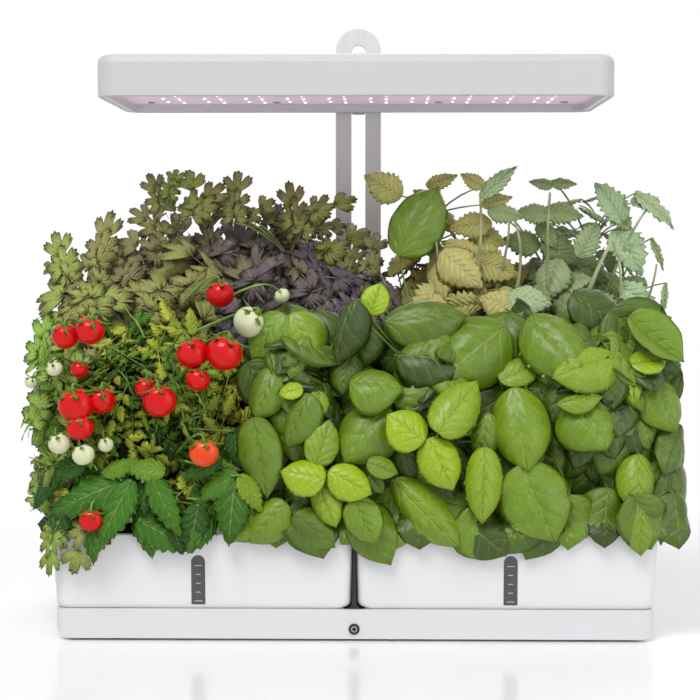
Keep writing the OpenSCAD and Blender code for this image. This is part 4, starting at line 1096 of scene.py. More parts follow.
def keepClear(piece):
    # Eases leaves and stems into the plants' whole box, out past the tanks' front and end
    # walls, up over their rims and decks, and off the mast
    mesh = piece.data
    co = np.zeros(len(mesh.vertices) * 3, np.float32)
    mesh.vertices.foreach_get("co", co)
    co = co.reshape(-1, 3)
    for axis, sign, zone in softEdges:
        past = sign * (co[:, axis] - plantBox[(sign + 1) // 2][axis]) + zone * mm
        over = past > 0
        held = zone * mm * (1 - np.exp(-past[over] / (zone * mm)))
        co[over, axis] += sign * (held - past[over])
    fall = np.clip((room["rim"] + keep["fadeFrom"] - co[:, 2]) / keep["fadeOver"], 0, 1)
    wall = room["front"] - keep["wall"]
    gap = co[:, 1] - wall
    near = (gap > -keep["outside"]) & (gap < keep["inside"])
    co[near, 1] += ((squeezed(gap, keep["outside"], keep["inside"]) - gap) * fall)[near]
    sign = np.sign(co[:, 0])
    gap = room["out"] + keep["wall"] - np.abs(co[:, 0])
    beside = ((gap > -keep["outside"]) & (gap < keep["insideEnd"]) & (co[:, 1] > wall)
              & (co[:, 1] < room["back"]))
    pushed = gap - squeezed(gap, keep["outside"], keep["insideEnd"])
    co[beside, 0] += (sign * pushed * fall)[beside]
    low = room["rim"] + keep["rim"]
    sunk = ((co[:, 1] > wall) & (co[:, 1] < room["back"] + keep["behind"])
            & (np.abs(co[:, 0]) < room["out"] + keep["wall"]) & (co[:, 2] < low))
    for pod in podPlaces:
        sunk &= np.hypot(co[:, 0] - pod[0], co[:, 1] - pod[1]) > keep["pod"]
    co[sunk, 2] = low - (low - co[sunk, 2]) * keep["sunkShare"]
    gap = co[:, 1] - room["mastFront"]
    side = room["mastHalf"] + keep["mastSide"]
    byMast = (gap > -keep["mastOutside"]) & (np.abs(co[:, 0]) < side)
    fade = np.clip((side - np.abs(co[:, 0])) / keep["mastFade"], 0, 1)
    pushed = squeezed(gap, keep["mastOutside"], keep["mastInside"]) - gap
    co[byMast, 1] += (pushed * fade)[byMast]
    mesh.vertices.foreach_set("co", co.ravel())
    mesh.update()


def sideOf(node):
    # -1 over the left tank and 1 over the right one
    low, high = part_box(node)
    return -1 if low[0] + high[0] < 0 else 1


def grow(piece, node, first=True):
    # A plant piece is eased clear of the tanks and mast, and rides on its deck
    keepClear(piece)
    side = "left" if sideOf(node) < 0 else "right"
    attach(piece, side + "_deck_unit")
    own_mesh(piece)
    if first:
        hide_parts(node)


# Where leaves and stems go

goldenTurn = math.radians(137.5)


def straight(facing, along):
    facing = facing / np.linalg.norm(facing)
    along = along - facing * (along @ facing)
    return facing, along / np.linalg.norm(along)


def shown(entry):
    # A leaf by the way it shows from the front: place, length and width in mm, the way its
    # tip points (0 right, 90 up), where it faces (right, up), its kind and its tone
    x, y, z, length, width, tip, az, el, kind, tone = entry
    tip, az, el = math.radians(tip), math.radians(az), math.radians(el)
    facing = np.array([math.sin(az) * math.cos(el), -math.cos(az) * math.cos(el), math.sin(el)])
    aim = np.array([math.cos(tip), 0, math.sin(tip)])
    aim[1] = -(aim @ facing) / facing[1]
    long = np.linalg.norm(aim)
    aim = aim / long
    across = np.cross(facing, aim)
    seen = max(math.hypot(across[0], across[2]), 0.67)   # a blade seen edge on stays narrow
    length, width = length * min(long, 1.5), width / seen   # as long as it has to look
    half = 0.5 * length * np.abs(aim) + 0.5 * width * np.abs(across) * 0.8
    if kind.startswith(("frond", "spray")):
        half = half * 1.3   # these are longer than one unit
    at = np.array([x, y, z], float)
    low, high = plantBox[0] / mm, plantBox[1] / mm
    at[0] = np.clip(at[0], low[0] + half[0], high[0] - half[0])
    at[1] = max(at[1], low[1] + half[1] * 0.7)
    at[2] = min(at[2], high[2] - half[2])
    return spot(kind, at * mm, aim, facing, np.array([length, width, (length + width) / 2]) * mm,
                tone)


def crown(node, count, seed, kinds, size, tones, depths=(0.8, 1.0), front=0.74, low=-0.5,
          lean=0.35, margin=12.0, forward=0.0, high=1.0):
    # Leaves all over a rounded crown that fills a plant's box, held back at the front
    rng = np.random.default_rng(seed)
    lower, upper = (np.array(c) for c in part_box(node))
    lower[2] = max(lower[2], room["rim"] - 6 * mm)
    mid, reach = (lower + upper) / 2, (upper - lower) / 2 - margin * mm
    rows = []
    for k in range(count):
        turn = k * goldenTurn + seed
        height = low + (high - low) * (k + 0.5) / count
        flat = math.sqrt(max(0.0, 1 - height * height))
        n = np.array([flat * math.cos(turn), flat * math.sin(turn), height])
        depth = rng.uniform(*depths)
        at = mid + reach * n * depth
        if n[1] < 0:
            at[1] = mid[1] + reach[1] * n[1] * depth * front
        length = size * rng.uniform(0.75, 1.15)
        at[2] = max(at[2], room["rim"] + 0.3 * length * mm)
        facing = n + rng.normal(0, 0.25, 3) + [0, -forward, 0.3]
        along = np.array([n[0], n[1], 0]) * lean + [0, 0, -0.8] + rng.normal(0, 0.35, 3)
        facing, along = straight(facing, along)
        shape = np.array([length, length * rng.uniform(0.62, 0.8), length]) * mm
        kind = kinds[int(rng.integers(len(kinds)))]
        rows.append(spot(kind, at, along, facing, shape, rng.uniform(*tones)))
    return rows


def wall(area, seed):
    # Leaves side by side up the front of a plant, every row half a step along from the last
    rng = np.random.default_rng(seed)
    xs, tops = zip(*area["top"])
    middle, half = (xs[0] + xs[-1]) / 2, (xs[-1] - xs[0]) / 2
    rows, line = [], 0
    step, low, kinds = area["step"], area["low"], area["kinds"]
    while low + line * step * 0.8 < max(tops):
        for x in np.arange(xs[0] + step * (line % 2) / 2, xs[-1] + 0.1, step):
            x = float(np.clip(x + rng.uniform(-0.3, 0.3) * step, xs[0], xs[-1]))
            z = low + (line * 0.8 + rng.uniform(-0.25, 0.25)) * step
            top = float(np.interp(x, xs, tops))
            if z > top:
                continue
            up = max(0.0, (z - low) / (top - low))
            side = (x - middle) / half * area.get("turn", 0.6)
            length = rng.uniform(*area["size"])
            tip = area["tip"] + (side * 45 if area["tip"] < 0 else -side * 45)
            y = area["y"] + area["lean"] * up ** 2 + rng.uniform(-5, 5)
            width = length * rng.uniform(*area["broad"])
            tip += rng.normal(0, area["sway"])
            az = side * 50 + rng.normal(0, 16)
            el = area["face"] + area["look"] * up + rng.normal(0, 10)
            kind = kinds[int(rng.integers(len(kinds)))]
            rows.append(shown((x, y, z, length, width, tip, az, el, kind,
                               rng.uniform(*area["tones"]))))
        line += 1
    return rows


def ownSide(rows, node):
    # Keeps low leaves over their own deck, so the other deck lifts out past them
    side = sideOf(node)
    for row in rows:
        if row["at"][2] < room["lifted"] and row["at"][1] > room["front"]:
            row["at"][0] = side * max(side * row["at"][0], 0.55 * row["size"][0])
    return rows


def arch(start, middle, end, thick, thin, steps=7):
    # A bend from start to end drawn towards middle, thinning on the way
    path = []
    for k in range(steps + 1):
        t = k / steps
        p = [(1 - t) ** 2 * start[i] + 2 * t * (1 - t) * middle[i] + t * t * end[i]
             for i in range(3)]
        path.append((*p, thick + (thin - thick) * t))
    return path


stemRoot = {"spread": 6 * mm, "sunk": 2.5 * mm}   # how the main stems stand in a pod


def stemsOf(rows, node, pod, stem):
    # Main stems from the pod up into the crown, and a stalk from the nearest to every leaf
    low, high = (np.array(c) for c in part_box(node))
    low[2] = room["rim"]
    middle, reach = (low + high) / 2, (high - low) / 2 * stem["reach"]
    paths, knots = [], []
    for k in range(stem["count"]):
        turn, out = k * goldenTurn, math.sqrt((k + 0.5) / stem["count"])
        away = np.array([math.cos(turn), math.sin(turn), 0.0])
        start = pod + away * stemRoot["spread"] * out - [0, 0, stemRoot["sunk"]]
        top = middle + reach * away * out
        top[2] = low[2] + (high[2] - low[2]) * (stem["top"] - 0.35 * out)
        knee = start + (top - start) * [0.3, 0.3, 0.75]
        path = arch(start, knee, top, stem["thick"] * mm, stem["thick"] * 0.35 * mm, steps=9)
        paths.append(path)
        knots += [point[:3] for point in path[2:]]
    knots = np.array(knots)
    for row in rows:
        sink = stem.get("sink", 0.0) * row["size"][2]
        foot = row["at"] - row["along"] * row["size"][0] * 0.47 - row["facing"] * sink
        # A knot below the leaf's foot is preferred to one above it
        far = np.linalg.norm(knots - foot, axis=1) + 3.0 * np.maximum(0, knots[:, 2] - foot[2])
        knot = knots[int(np.argmin(far))]
        knee = knot + (foot - knot) * [0.5, 0.5, 0.9]
        if "behind" in stem:
            knee = foot - (row["along"] * 0.5 + row["facing"]) * stem["behind"] * row["size"][0]
        paths.append(arch(knot, knee, foot, stem["stalk"] * mm, 0.7 * stem["stalk"] * mm,
                          steps=4))
    return paths


def tubes(name, paths, finish):
    # Round stems along smooth paths of (x, y, z, radius)
    curve = bpy.data.curves.new(name, "CURVE")
    curve.dimensions = "3D"
    curve.bevel_depth = 1.0
    curve.bevel_resolution = 1
    curve.use_fill_caps = True
    for path in paths:
        spline = curve.splines.new("POLY")
        spline.points.add(len(path) - 1)
        for point, (x, y, z, r) in zip(spline.points, path):
            point.co = (x, y, z, 1)
            point.radius = r
    holder = bpy.data.objects.new(name + "Paths", curve)
    bpy.context.collection.objects.link(holder)
    piece = settled(holder, name)
    piece.data.materials.clear()
    piece.data.materials.append(finish)
    piece.data.polygons.foreach_set("use_smooth", [True] * len(piece.data.polygons))
    return piece


def leafyPlant(label, node, rows, plant, finish, stems):
    # The leaves stand in for the CAD plant, and the stems grow beside them
    grow(scatter(label + "Leaves", rows, plant, leafFinishes[finish]), node)
    grow(tubes(label + "Stems", stems, stemFinishes[plant + "Stem"]), node, first=False)


# Basil. Leaves that show are set one by one, as shown() reads them, and each front is a row
# of (x, top) in mm, with a darker layer the given depth behind it. In the lists of single
# leaves, fruit and bare stalks, the places and sizes in mm were worked out by another script

basilLeft = [
    (-62, -112, 122, 55, 31, -80, -8, 5, "flat", 0.4),
    (-60, -100, 165, 40, 28, -108, -15, 20, "domed", 0.45),
    (-60, -86, 201, 40, 32, -125, -20, 12, "domed", 0.5),
    (-57, -118, 80, 38, 27, -130, -10, 5, "domed", 0.52),
    (-56, -92, 184, 28, 13, -72, -30, 20, "slim", 0.35),
    (-47, -98, 130, 29, 24, -90, 0, 5, "domed", 0.28),
    (-42, -104, 166, 17, 11, 195, -10, 40, "young", 1.0),
    (-39, -110, 147, 41, 24, -112, -30, 12, "domed", 0.42),
    (-36, -106, 95, 29, 22, -70, 0, 0, "domed", 0.3),
    (-35, -88, 199, 40, 38, -70, 0, 8, "domed", 0.58),
    (-34, -121, 113, 31, 24, 172, -10, 30, "quilted", 0.95),
    (-25, -116, 74, 37, 25, -40, 10, -8, "domed", 0.36),
    (-24, -106, 157, 18, 16, -100, 20, 25, "young", 0.62),
    (-20, -112, 133, 32, 24, 72, 10, 15, "flat", 0.6),
    (-18, -117, 92, 33, 22, -68, -10, 5, "quilted", 0.78),
    (-9, -98, 205, 48, 20, -105, -35, 10, "rolled", 0.12),
    (-6, -92, 177, 29, 24, -100, 0, 20, "domed", 0.3),
    (-5, -106, 90, 26, 21, -90, 0, 0, "domed", 0.25),
    (-2, -122, 108, 33, 24, -28, 5, 20, "quilted", 0.95)]
basilMiddle = [
    (4, -92, 210, 19, 16, -75, 20, 20, "young", 0.8),
    (7, -121, 82, 34, 26, -65, 0, 5, "flat", 0.52),
    (7, -110, 139, 49, 41, -128, -5, 20, "domed", 0.46),
    (14, -78, 226, 23, 20, 70, 0, 15, "young", 1.0),
    (15, -104, 172, 38, 28, -8, 5, 45, "domed", 0.5),
    (15, -115, 70, 46, 33, -62, 12, -10, "domed", 0.4),
    (15, -115, 106, 16, 10, -60, 10, 10, "young", 0.35),
    (19, -117, 117, 22, 14, -20, 15, 30, "young", 0.52),
    (34, -119, 144, 31, 28, 145, 10, 25, "quilted", 0.95),
    (36, -104, 120, 29, 24, -80, 0, 0, "domed", 0.2),
    (44, -18, 279, 57, 39, 60, -5, 15, "flat", 0.46),
    (46, -117, 86, 65, 31, -44, -12, 5, "rolled", 0.56),
    (48, -84, 216, 58, 32, 4, 0, 38, "domed", 0.34),
    (50, -88, 177, 38, 30, -30, 0, 20, "domed", 0.3),
    (57, -120, 119, 39, 29, -65, 5, 5, "quilted", 0.93),
    (60, -104, 96, 30, 26, -60, 0, 0, "domed", 0.15),
    (69, -112, 158, 43, 32, 50, 15, 30, "quilted", 0.74),
    (79, -92, 192, 62, 51, -142, 5, 20, "domed", 0.42),
    (84, -120, 105, 52, 26, -92, -5, 5, "quilted", 0.72),
    (85, -104, 136, 33, 22, -100, -15, 10, "domed", 0.48),
    (87, -109, 69, 37, 33, -40, 5, -5, "domed", 0.2)]
basilRight = [
    (108, -112, 142, 58, 41, -80, -10, 15, "domed", 0.55),
    (110, -84, 178, 30, 20, 20, 0, 40, "young", 0.6),
    (120, -117, 93, 57, 48, -66, 0, 5, "flat", 0.5),
    (134, -92, 197, 53, 44, -50, -5, 35, "quilted", 0.45),
    (135, -92, 158, 36, 29, -110, -10, 10, "domed", 0.3),
    (149, -104, 162, 34, 13, 8, 0, 50, "slim", 0.58),
    (154, -100, 184, 52, 33, 197, 10, 35, "quilted", 0.66),
    (155, -92, 121, 40, 29, -70, 0, 5, "domed", 0.2),
    (156, -106, 146, 41, 45, -58, 5, 25, "domed", 0.5),
    (163, -66, 218, 40, 30, -35, 10, 25, "flat", 0.18),
    (164, -106, 75, 24, 21, -90, 5, 0, "flat", 0.12),
    (173, -98, 128, 41, 39, -120, 15, 10, "domed", 0.33),
    (184, -96, 169, 27, 12, -88, -5, 15, "young", 0.8),
    (187, -108, 106, 40, 28, -95, 10, 15, "domed", 0.64),
    (188, -114, 75, 35, 22, -88, 15, 0, "domed", 0.55),
    (195, -92, 185, 25, 16, 4, 15, 50, "young", 0.85),
    (200, -84, 198, 48, 27, -40, 20, 30, "boat", 0.5),
    (206, -98, 88, 47, 17, -100, 35, 0, "flat", 0.28),
    (207, -94, 158, 43, 33, -70, 25, 20, "domed", 0.5),
    (212, -92, 126, 36, 24, -112, 30, 10, "flat", 0.34)]
basilFront = {"low": 97, "y": -90, "lean": 22, "step": 31, "size": (38, 58),
              "broad": (0.78, 0.95), "tip": -90, "sway": 36, "face": 0, "look": 16,
              "tones": (0.2, 0.52), "kinds": ["full", "full", "drooped", "turnedUp"]}
basilHem = {**basilFront, "low": 78, "y": -106, "lean": 4, "step": 23, "size": (32, 44),
            "sway": 24, "face": -6, "tones": (0.22, 0.5), "inset": 4, "height": 88}
# This layer behind the front is in the darkest tones: painted shade in the gaps between the leaves
basilDeep = {**basilFront, "y": -62, "low": 98, "step": 30, "size": (44, 58),
             "tones": (0.0, 0.08), "kinds": ["plain", "plainFlat"], "lower": 6}
basilPlants = {
    "basilLeft": {
        "node": "basil_left", "pod": 2, "shown": basilLeft, "outer": 40, "inner": 24,
        "seeds": {"front": 11, "hem": 15, "deep": 21, "outer": 31, "inner": 41},
        "top": [(-82, 150), (-70, 186), (-40, 204), (-6, 212)]},
    "basilMiddle": {
        "node": "basil_middle", "pod": 5, "shown": basilMiddle, "outer": 52, "inner": 30,
        "seeds": {"front": 12, "hem": 16, "deep": 22, "outer": 32, "inner": 42},
        "top": [(-6, 206), (20, 196), (60, 208), (100, 206)]},
    "basilRight": {
        "node": "basil_right", "pod": 6, "shown": basilRight, "outer": 56, "inner": 34,
        "seeds": {"front": 13, "hem": 17, "deep": 23, "outer": 33, "inner": 43},
        "top": [(94, 204), (135, 208), (180, 206), (204, 196), (222, 170)]},
}
# The inner crown is in dark tones: painted shade inside the plant
basilCrown = {"leaf": 44, "innerLeaf": 40, "kinds": ["plain", "plainFlat", "plainRolled"],
              "outerTones": (0.14, 0.48), "innerShadeTones": (0.0, 0.14)}
basilStem = {"count": 7, "reach": 0.45, "top": 0.7, "thick": 1.9, "stalk": 0.9, "sink": 0.12,
             "behind": 0.25}


def growBasil():
    for label, plant in basilPlants.items():
        node, top, seeds = plant["node"], plant["top"], plant["seeds"]
        first, last = top[0][0] + basilHem["inset"], top[-1][0] - basilHem["inset"]
        hem = [(first, basilHem["height"]), (last, basilHem["height"])]
        lower = [(x, z - basilDeep["lower"]) for x, z in top]
        rows = [shown(entry) for entry in plant["shown"]]
        rows += ownSide(wall({**basilFront, "top": top}, seeds["front"]), node)
        rows += ownSide(wall({**basilHem, "top": hem}, seeds["hem"]), node)
        deep = ownSide(wall({**basilDeep, "top": lower}, seeds["deep"]), node)
        outer = crown(node, plant["outer"], seeds["outer"], basilCrown["kinds"],
                      basilCrown["leaf"], basilCrown["outerTones"], forward=0.8)
        inner = crown(node, plant["inner"], seeds["inner"], basilCrown["kinds"],
                      basilCrown["innerLeaf"], basilCrown["innerShadeTones"], depths=(0.45, 0.7))
        crowns = ownSide(outer + inner, node)
        stems = stemsOf(rows + outer, node, podPlace(plant["pod"]), basilStem)
        leafyPlant(label, node, rows + deep + crowns, "basil", "basilLeaf", stems)


# Tomato, with broad leaflets at its foot; each fruit is its middle, radius and ripeness

tomatoLow = [
    (-176, -116, 97, 55, 30, 205, -10, 20, "broad", 0.45),
    (-157, -120, 86, 51, 26, -116, -5, 10, "broad", 0.5),
    (-123, -119, 91, 47, 21, -63, 5, 10, "broad", 0.5),
    (-80, -117, 88, 48, 30, -95, 0, 10, "broad", 0.42),
    (-89, -113, 104, 31, 21, 215, -5, 20, "broad", 0.55),
    (-105, -118, 76, 34, 22, -102, 5, 0, "broad", 0.3),
    (-67, -116, 99, 30, 17, -60, 10, 10, "broad", 0.7),
    (-206, -104, 101, 36, 16, -120, -30, 10, "broad", 0.3),
    (-138, -112, 116, 29, 17, 175, 0, 40, "broad", 0.62),
    (-153, -112, 117, 26, 14, 20, 0, 40, "broad", 0.6),
    (-100, -108, 115, 29, 17, -150, 0, 20, "broad", 0.35),
    (-192, -104, 115, 29, 17, 190, -10, 30, "broad", 0.4),
    (-78, -100, 126, 27, 19, -80, 0, 10, "broad", 0.3),
    (-116, -113, 68, 22, 16, -70, 0, 0, "broad", 0.25),
    (-138, -112, 96, 26, 17, -90, 0, 10, "broad", 0.3)]
tomatoFruit = [
    (-190, -106, 202, 9.2, 0.86), (-173, -110, 206, 9.9, 0.86), (-106, -108, 191, 10.9, 0.86),
    (-85, -110, 191, 12.2, 0.86), (-102, -112, 174, 8.2, 0.86), (-127, -116, 160, 11.1, 0.86),
    (-137, -108, 168, 7.2, 0.86), (-182, -113, 157, 12.1, 0.86), (-166, -109, 160, 9.5, 0.86),
    (-179, -116, 143, 9.2, 0.86), (-181, -106, 180, 5.9, 0.86), (-92, -60, 228, 9.6, 0.86),
    (-172, -121, 82, 7.8, 0.86), (-98, -116, 126, 9.8, 0.5), (-71, -80, 210, 10.8, 0.05),
    (-50, -60, 227, 5.5, 0.05), (-197, -108, 181, 5.6, 0.05), (-214, -100, 171, 4.3, 0.05),
    (-193, -114, 132, 7.5, 0.05), (-177, -117, 125, 7.5, 0.05), (-163, -112, 131, 5.3, 0.05)]
sprays = ["sprayA", "sprayB", "sprayC"]
tomatoFront = {"low": 92, "y": -88, "lean": 40, "step": 18, "size": (40, 56),
               "broad": (0.8, 1.0), "tip": 70, "sway": 60, "face": 0, "look": 30,
               "tones": (0.55, 1.05), "turn": 0.9, "kinds": sprays,
               "top": [(-204, 150), (-196, 186), (-150, 208), (-110, 208), (-84, 190), (-72, 150)]}
tomatoPlant = {
    "node": "tomato_plant", "pod": 1, "outer": 70, "inner": 40, "leaf": 44,
    # The inner crown is in dark tones: painted shade inside the plant
    "outerTones": (0.45, 0.95), "innerShadeTones": (0.0, 0.3), "front": tomatoFront,
    "seeds": {"front": 54, "foot": 55, "deep": 56, "outer": 51, "inner": 52, "fruit": 53},
    # The deep layer behind the front is in dark tones: painted shade
    "deep": {**tomatoFront, "low": 78, "y": -66, "lean": 34, "step": 22, "size": (40, 50),
             "tones": (0.0, 0.3), "turn": 0.6, "kinds": ["sprayC", "broad"],
             "top": [(-200, 176), (-150, 200), (-90, 190), (-72, 160)]},
    "foot": {**tomatoFront, "low": 74, "y": -110, "lean": 14, "step": 27, "size": (32, 44),
             "broad": (0.5, 0.65), "tip": -90, "sway": 40, "face": 5, "tones": (0.25, 0.6),
             "turn": 0.6, "kinds": ["broad"], "top": [(-200, 112), (-130, 108), (-80, 118)]},
}
tomatoStem = {"count": 6, "reach": 0.6, "top": 0.85, "thick": 2.0, "stalk": 0.9}
fruitStalk = {"thick": 1.1, "thin": 0.6, "over": 14, "above": 20, "below": 6}


def tomatoTrusses(pod, seed):
    # Fruit with their sepals, and a stalk to each from inside the plant
    fruit, caps, stalks = [], [], []
    rng = np.random.default_rng(seed)
    for x, y, z, radius, ripe in tomatoFruit:
        at = np.array([x, max(y, plantBox[0][1] / mm + radius + 0.5), z]) * mm
        up = np.array([rng.normal(0, 0.25), rng.normal(-0.25, 0.15), 1.0])
        up /= np.linalg.norm(up)
        facing, along = straight(up, np.array([1.0, 0, 0]))
        wide = 2 * radius * mm
        top = at + facing * wide * 0.43
        fruit.append(spot("fruit", at, along, facing, (wide, wide, wide), ripe))
        caps.append(spot("calyx", top, along, facing, (wide * 1.5,) * 3, 0.62))
        inside = pod + np.array([(at[0] - pod[0]) * 0.55, (at[1] - pod[1]) * 0.5, 0])
        inside[2] = max(pod[2] + fruitStalk["above"] * mm, at[2] - fruitStalk["below"] * mm)
        stalks.append(arch(inside, top + facing * fruitStalk["over"] * mm, top,
                           fruitStalk["thick"] * mm, fruitStalk["thin"] * mm))
    return fruit, caps, stalks


def growTomato():
    plant = tomatoPlant
    node, pod, seeds = plant["node"], podPlace(plant["pod"]), plant["seeds"]
    rows = [shown(entry) for entry in tomatoLow]
    rows += wall(plant["front"], seeds["front"]) + wall(plant["foot"], seeds["foot"])
    deep = wall(plant["deep"], seeds["deep"])
    outer = crown(node, plant["outer"], seeds["outer"], sprays, plant["leaf"],
                  plant["outerTones"], front=0.9, lean=0.9, margin=16)
    inner = crown(node, plant["inner"], seeds["inner"], sprays, plant["leaf"],
                  plant["innerShadeTones"], depths=(0.4, 0.75), front=0.8)
    fruit, caps, stalks = tomatoTrusses(pod, seeds["fruit"])
    stems = stemsOf(rows + outer[::2], node, pod, tomatoStem) + stalks
    leafyPlant("tomato", node, rows + deep + outer + inner, "tomato", "tomatoLeaf", stems)
    grow(scatter("tomatoFruit", fruit, "fruit", fruitFinish), node, first=False)
    grow(scatter("tomatoCalyces", caps, "calyx", leafFinishes["tomatoLeaf"]), node,
         first=False)


# Parsley: behind the left end, behind the middle, and hanging in front of the rim

parsleyLeft = [
    (-215, -30, 253, 40, 31, 112, -10, 20, "frondA", 0.62),
    (-228, -30, 244, 28, 21, 150, -20, 20, "frondB", 0.5),
    (-205, -24, 246, 24, 18, 70, 0, 20, "frondC", 0.55),
    (-180, -10, 265, 43, 29, 80, -5, 20, "frondA", 0.45),
    (-169, -4, 250, 32, 23, 60, 0, 20, "frondB", 0.35),
    (-186, -20, 244, 29, 21, 120, 0, 20, "frondC", 0.5),
    (-143, 10, 302, 34, 26, 115, 0, 20, "frondA", 0.5),
    (-132, 6, 308, 25, 20, 80, 0, 25, "frondB", 0.7),
    (-119, 4, 304, 36, 26, 95, 0, 20, "frondC", 0.62),
    (-108, 0, 293, 35, 28, 50, 0, 20, "frondA", 0.5),
    (-148, 4, 278, 36, 26, 140, 0, 20, "frondB", 0.4),
    (-154, -4, 261, 33, 26, 160, 0, 20, "frondC", 0.35),
    (-238, -40, 227, 35, 24, 200, -20, 25, "frondA", 0.3),
    (-222, -50, 217, 42, 28, 210, -10, 25, "frondB", 0.55),
    (-201, -44, 227, 42, 31, 170, 0, 35, "frondC", 0.65),
    (-176, -44, 224, 42, 32, 20, 0, 35, "frondA", 0.6),
    (-150, -30, 226, 42, 31, 150, 0, 30, "frondB", 0.5),
    (-130, -24, 230, 40, 31, 40, 0, 30, "frondC", 0.42),
    (-160, -10, 244, 40, 32, 60, 0, 20, "frondA", 0.3),
    (-128, 4, 265, 44, 33, 100, 0, 20, "frondB", 0.3),
    (-112, 6, 249, 44, 34, 70, 0, 10, "frondC", 0.22),
    (-123, -30, 212, 42, 32, -60, 0, 20, "frondA", 0.3),
    (-99, -20, 212, 38, 29, 120, 0, 20, "frondB", 0.35),
    (-106, 10, 270, 41, 29, 100, 0, 10, "frondB", 0.25),
    (-230, -60, 167, 41, 28, 180, -15, 20, "frondC", 0.95),
    (-213, -60, 175, 34, 25, 150, -10, 20, "frondA", 0.6),
    (-219, -64, 144, 34, 27, 200, -15, 15, "frondB", 0.6),
    (-224, -60, 189, 30, 21, 135, -15, 20, "frondC", 0.7),
    (-212, -56, 193, 28, 21, 100, -10, 20, "frondA", 0.5),
    (-213, -60, 157, 34, 26, -150, -15, 15, "frondB", 0.5),
    (-210, -66, 137, 31, 25, -140, -10, 10, "frondC", 0.4),
    (-220, -80, 105, 30, 23, -120, -20, 5, "frondA", 0.7),
    (-210, -80, 109, 23, 18, -60, -10, 5, "frondB", 0.6),
    (-213, -84, 95, 24, 18, -95, -15, 5, "frondC", 0.65)]
parsleyMiddle = [
    (-87, 10, 297, 41, 31, 88, 0, 20, "frondB", 0.48),
    (-71, 16, 288, 25, 19, 35, 0, 20, "frondC", 0.45),
    (-97, 12, 288, 25, 19, 145, 0, 20, "frondA", 0.4),
    (-46, 16, 288, 41, 29, 100, 0, 20, "frondA", 0.45),
    (-32, 12, 283, 37, 26, 60, 0, 20, "frondB", 0.5),
    (-18, 10, 291, 34, 18, 22, 0, 25, "frondC", 0.5),
    (-22, 16, 275, 26, 18, 10, 0, 25, "frondA", 0.35),
    (-55, 20, 278, 32, 22, 150, 0, 10, "frondB", 0.35),
    (-9, 20, 265, 37, 27, 30, 0, 25, "frondC", 0.55),
    (-19, 18, 252, 40, 29, -10, 0, 30, "frondA", 0.5),
    (-5, 10, 249, 32, 26, 70, 0, 20, "frondB", 0.4),
    (11, 4, 257, 29, 22, 75, 0, 20, "frondC", 0.45),
    (-88, 20, 261, 44, 32, 80, 0, 10, "frondC", 0.1),
    (-69, 24, 258, 44, 33, 60, 0, 10, "frondA", 0.08),
    (-90, 16, 239, 44, 34, 100, 0, 10, "frondB", 0.05),
    (-68, 16, 231, 44, 34, 70, 0, 10, "frondC", 0.05),
    (-48, 24, 249, 41, 31, 100, 0, 10, "frondA", 0.1),
    (-63, 22, 273, 37, 27, 70, 0, 10, "frondC", 0.15),
    (-41, 10, 229, 37, 29, 60, 0, 10, "frondA", 0.1),
    (-78, -10, 214, 40, 32, 60, 0, 20, "frondB", 0.3)]
parsleyLow = [
    (-200, -112, 63, 34, 20, -97, -10, 0, "frondA", 0.75),
    (-196, -112, 72, 20, 14, -50, 0, 10, "frondB", 0.7),
    (-180, -114, 63, 31, 25, -108, 0, 5, "frondC", 0.55),
    (-169, -114, 71, 17, 16, -60, 0, 10, "frondA", 0.5)]
fronds = ["frondA", "frondB", "frondC"]
parsleyFront = {"step": 20, "size": (42, 54), "broad": (0.7, 0.85), "tip": 90, "sway": 45,
                "face": 5, "look": 30, "turn": 0.8, "kinds": fronds}
parsleyPlants = {
    "parsleyLeft": {
        "node": "parsley_left", "pod": 3, "shown": parsleyLeft + parsleyLow, "outer": 50,
        "inner": 26, "outerTones": (0.4, 0.7), "finish": "parsleyLeaf",
        "seeds": {"front": 64, "outer": 61, "inner": 71}, "fronts": [
            {**parsleyFront, "low": 176, "y": -44, "lean": 44, "tones": (0.35, 0.62),
             "top": [(-226, 200), (-196, 216), (-150, 230), (-126, 262), (-104, 270)]},
            {**parsleyFront, "low": 104, "y": -84, "lean": 20, "tones": (0.72, 1.0),
             "step": 17, "size": (34, 42), "top": [(-222, 196), (-194, 206)]},
            # The layer behind is in dark tones: painted shade
            {**parsleyFront, "low": 170, "y": -16, "lean": 40, "tones": (0.1, 0.3),
             "top": [(-215, 200), (-150, 226), (-122, 258), (-100, 270)]}]},
    # The middle parsley, behind the other plants, is all in dark tones: painted shade
    "parsleyMiddle": {
        "node": "parsley_middle", "pod": 4, "shown": parsleyMiddle, "outer": 40, "inner": 26,
        "outerTones": (0.1, 0.4), "finish": "parsleyLeaf",
        "seeds": {"front": 68, "outer": 62, "inner": 72}, "fronts": [
            {**parsleyFront, "low": 190, "y": -24, "lean": 36, "tones": (0.0, 0.26),
             "top": [(-112, 268), (-70, 264), (-40, 258), (-8, 244), (28, 234)]},
            {**parsleyFront, "low": 176, "y": 4, "lean": 30, "tones": (0.0, 0.14),
             "top": [(-110, 264), (-60, 258), (0, 238), (30, 230)]}]},
}
# The inner crown is in dark tones: painted shade inside the plant
parsley = {
    "name": "parsley", "kinds": fronds, "leaf": 46, "innerShadeTones": (0.0, 0.25),
    "raise": 1.5,   # how far the crown's fronds are turned to point upwards
    "outer": {"lean": 0.9, "front": 0.7, "margin": 16, "high": 0.78},
    "inner": {"depths": (0.5, 0.75)},
    "stem": {"count": 12, "reach": 0.75, "top": 0.9, "thick": 1.3, "stalk": 0.8},
}


# Mint and balm: balm behind the middle, mint and balm behind the right end. The bare stalks
# that show among them go from a low to a high end, with their radius

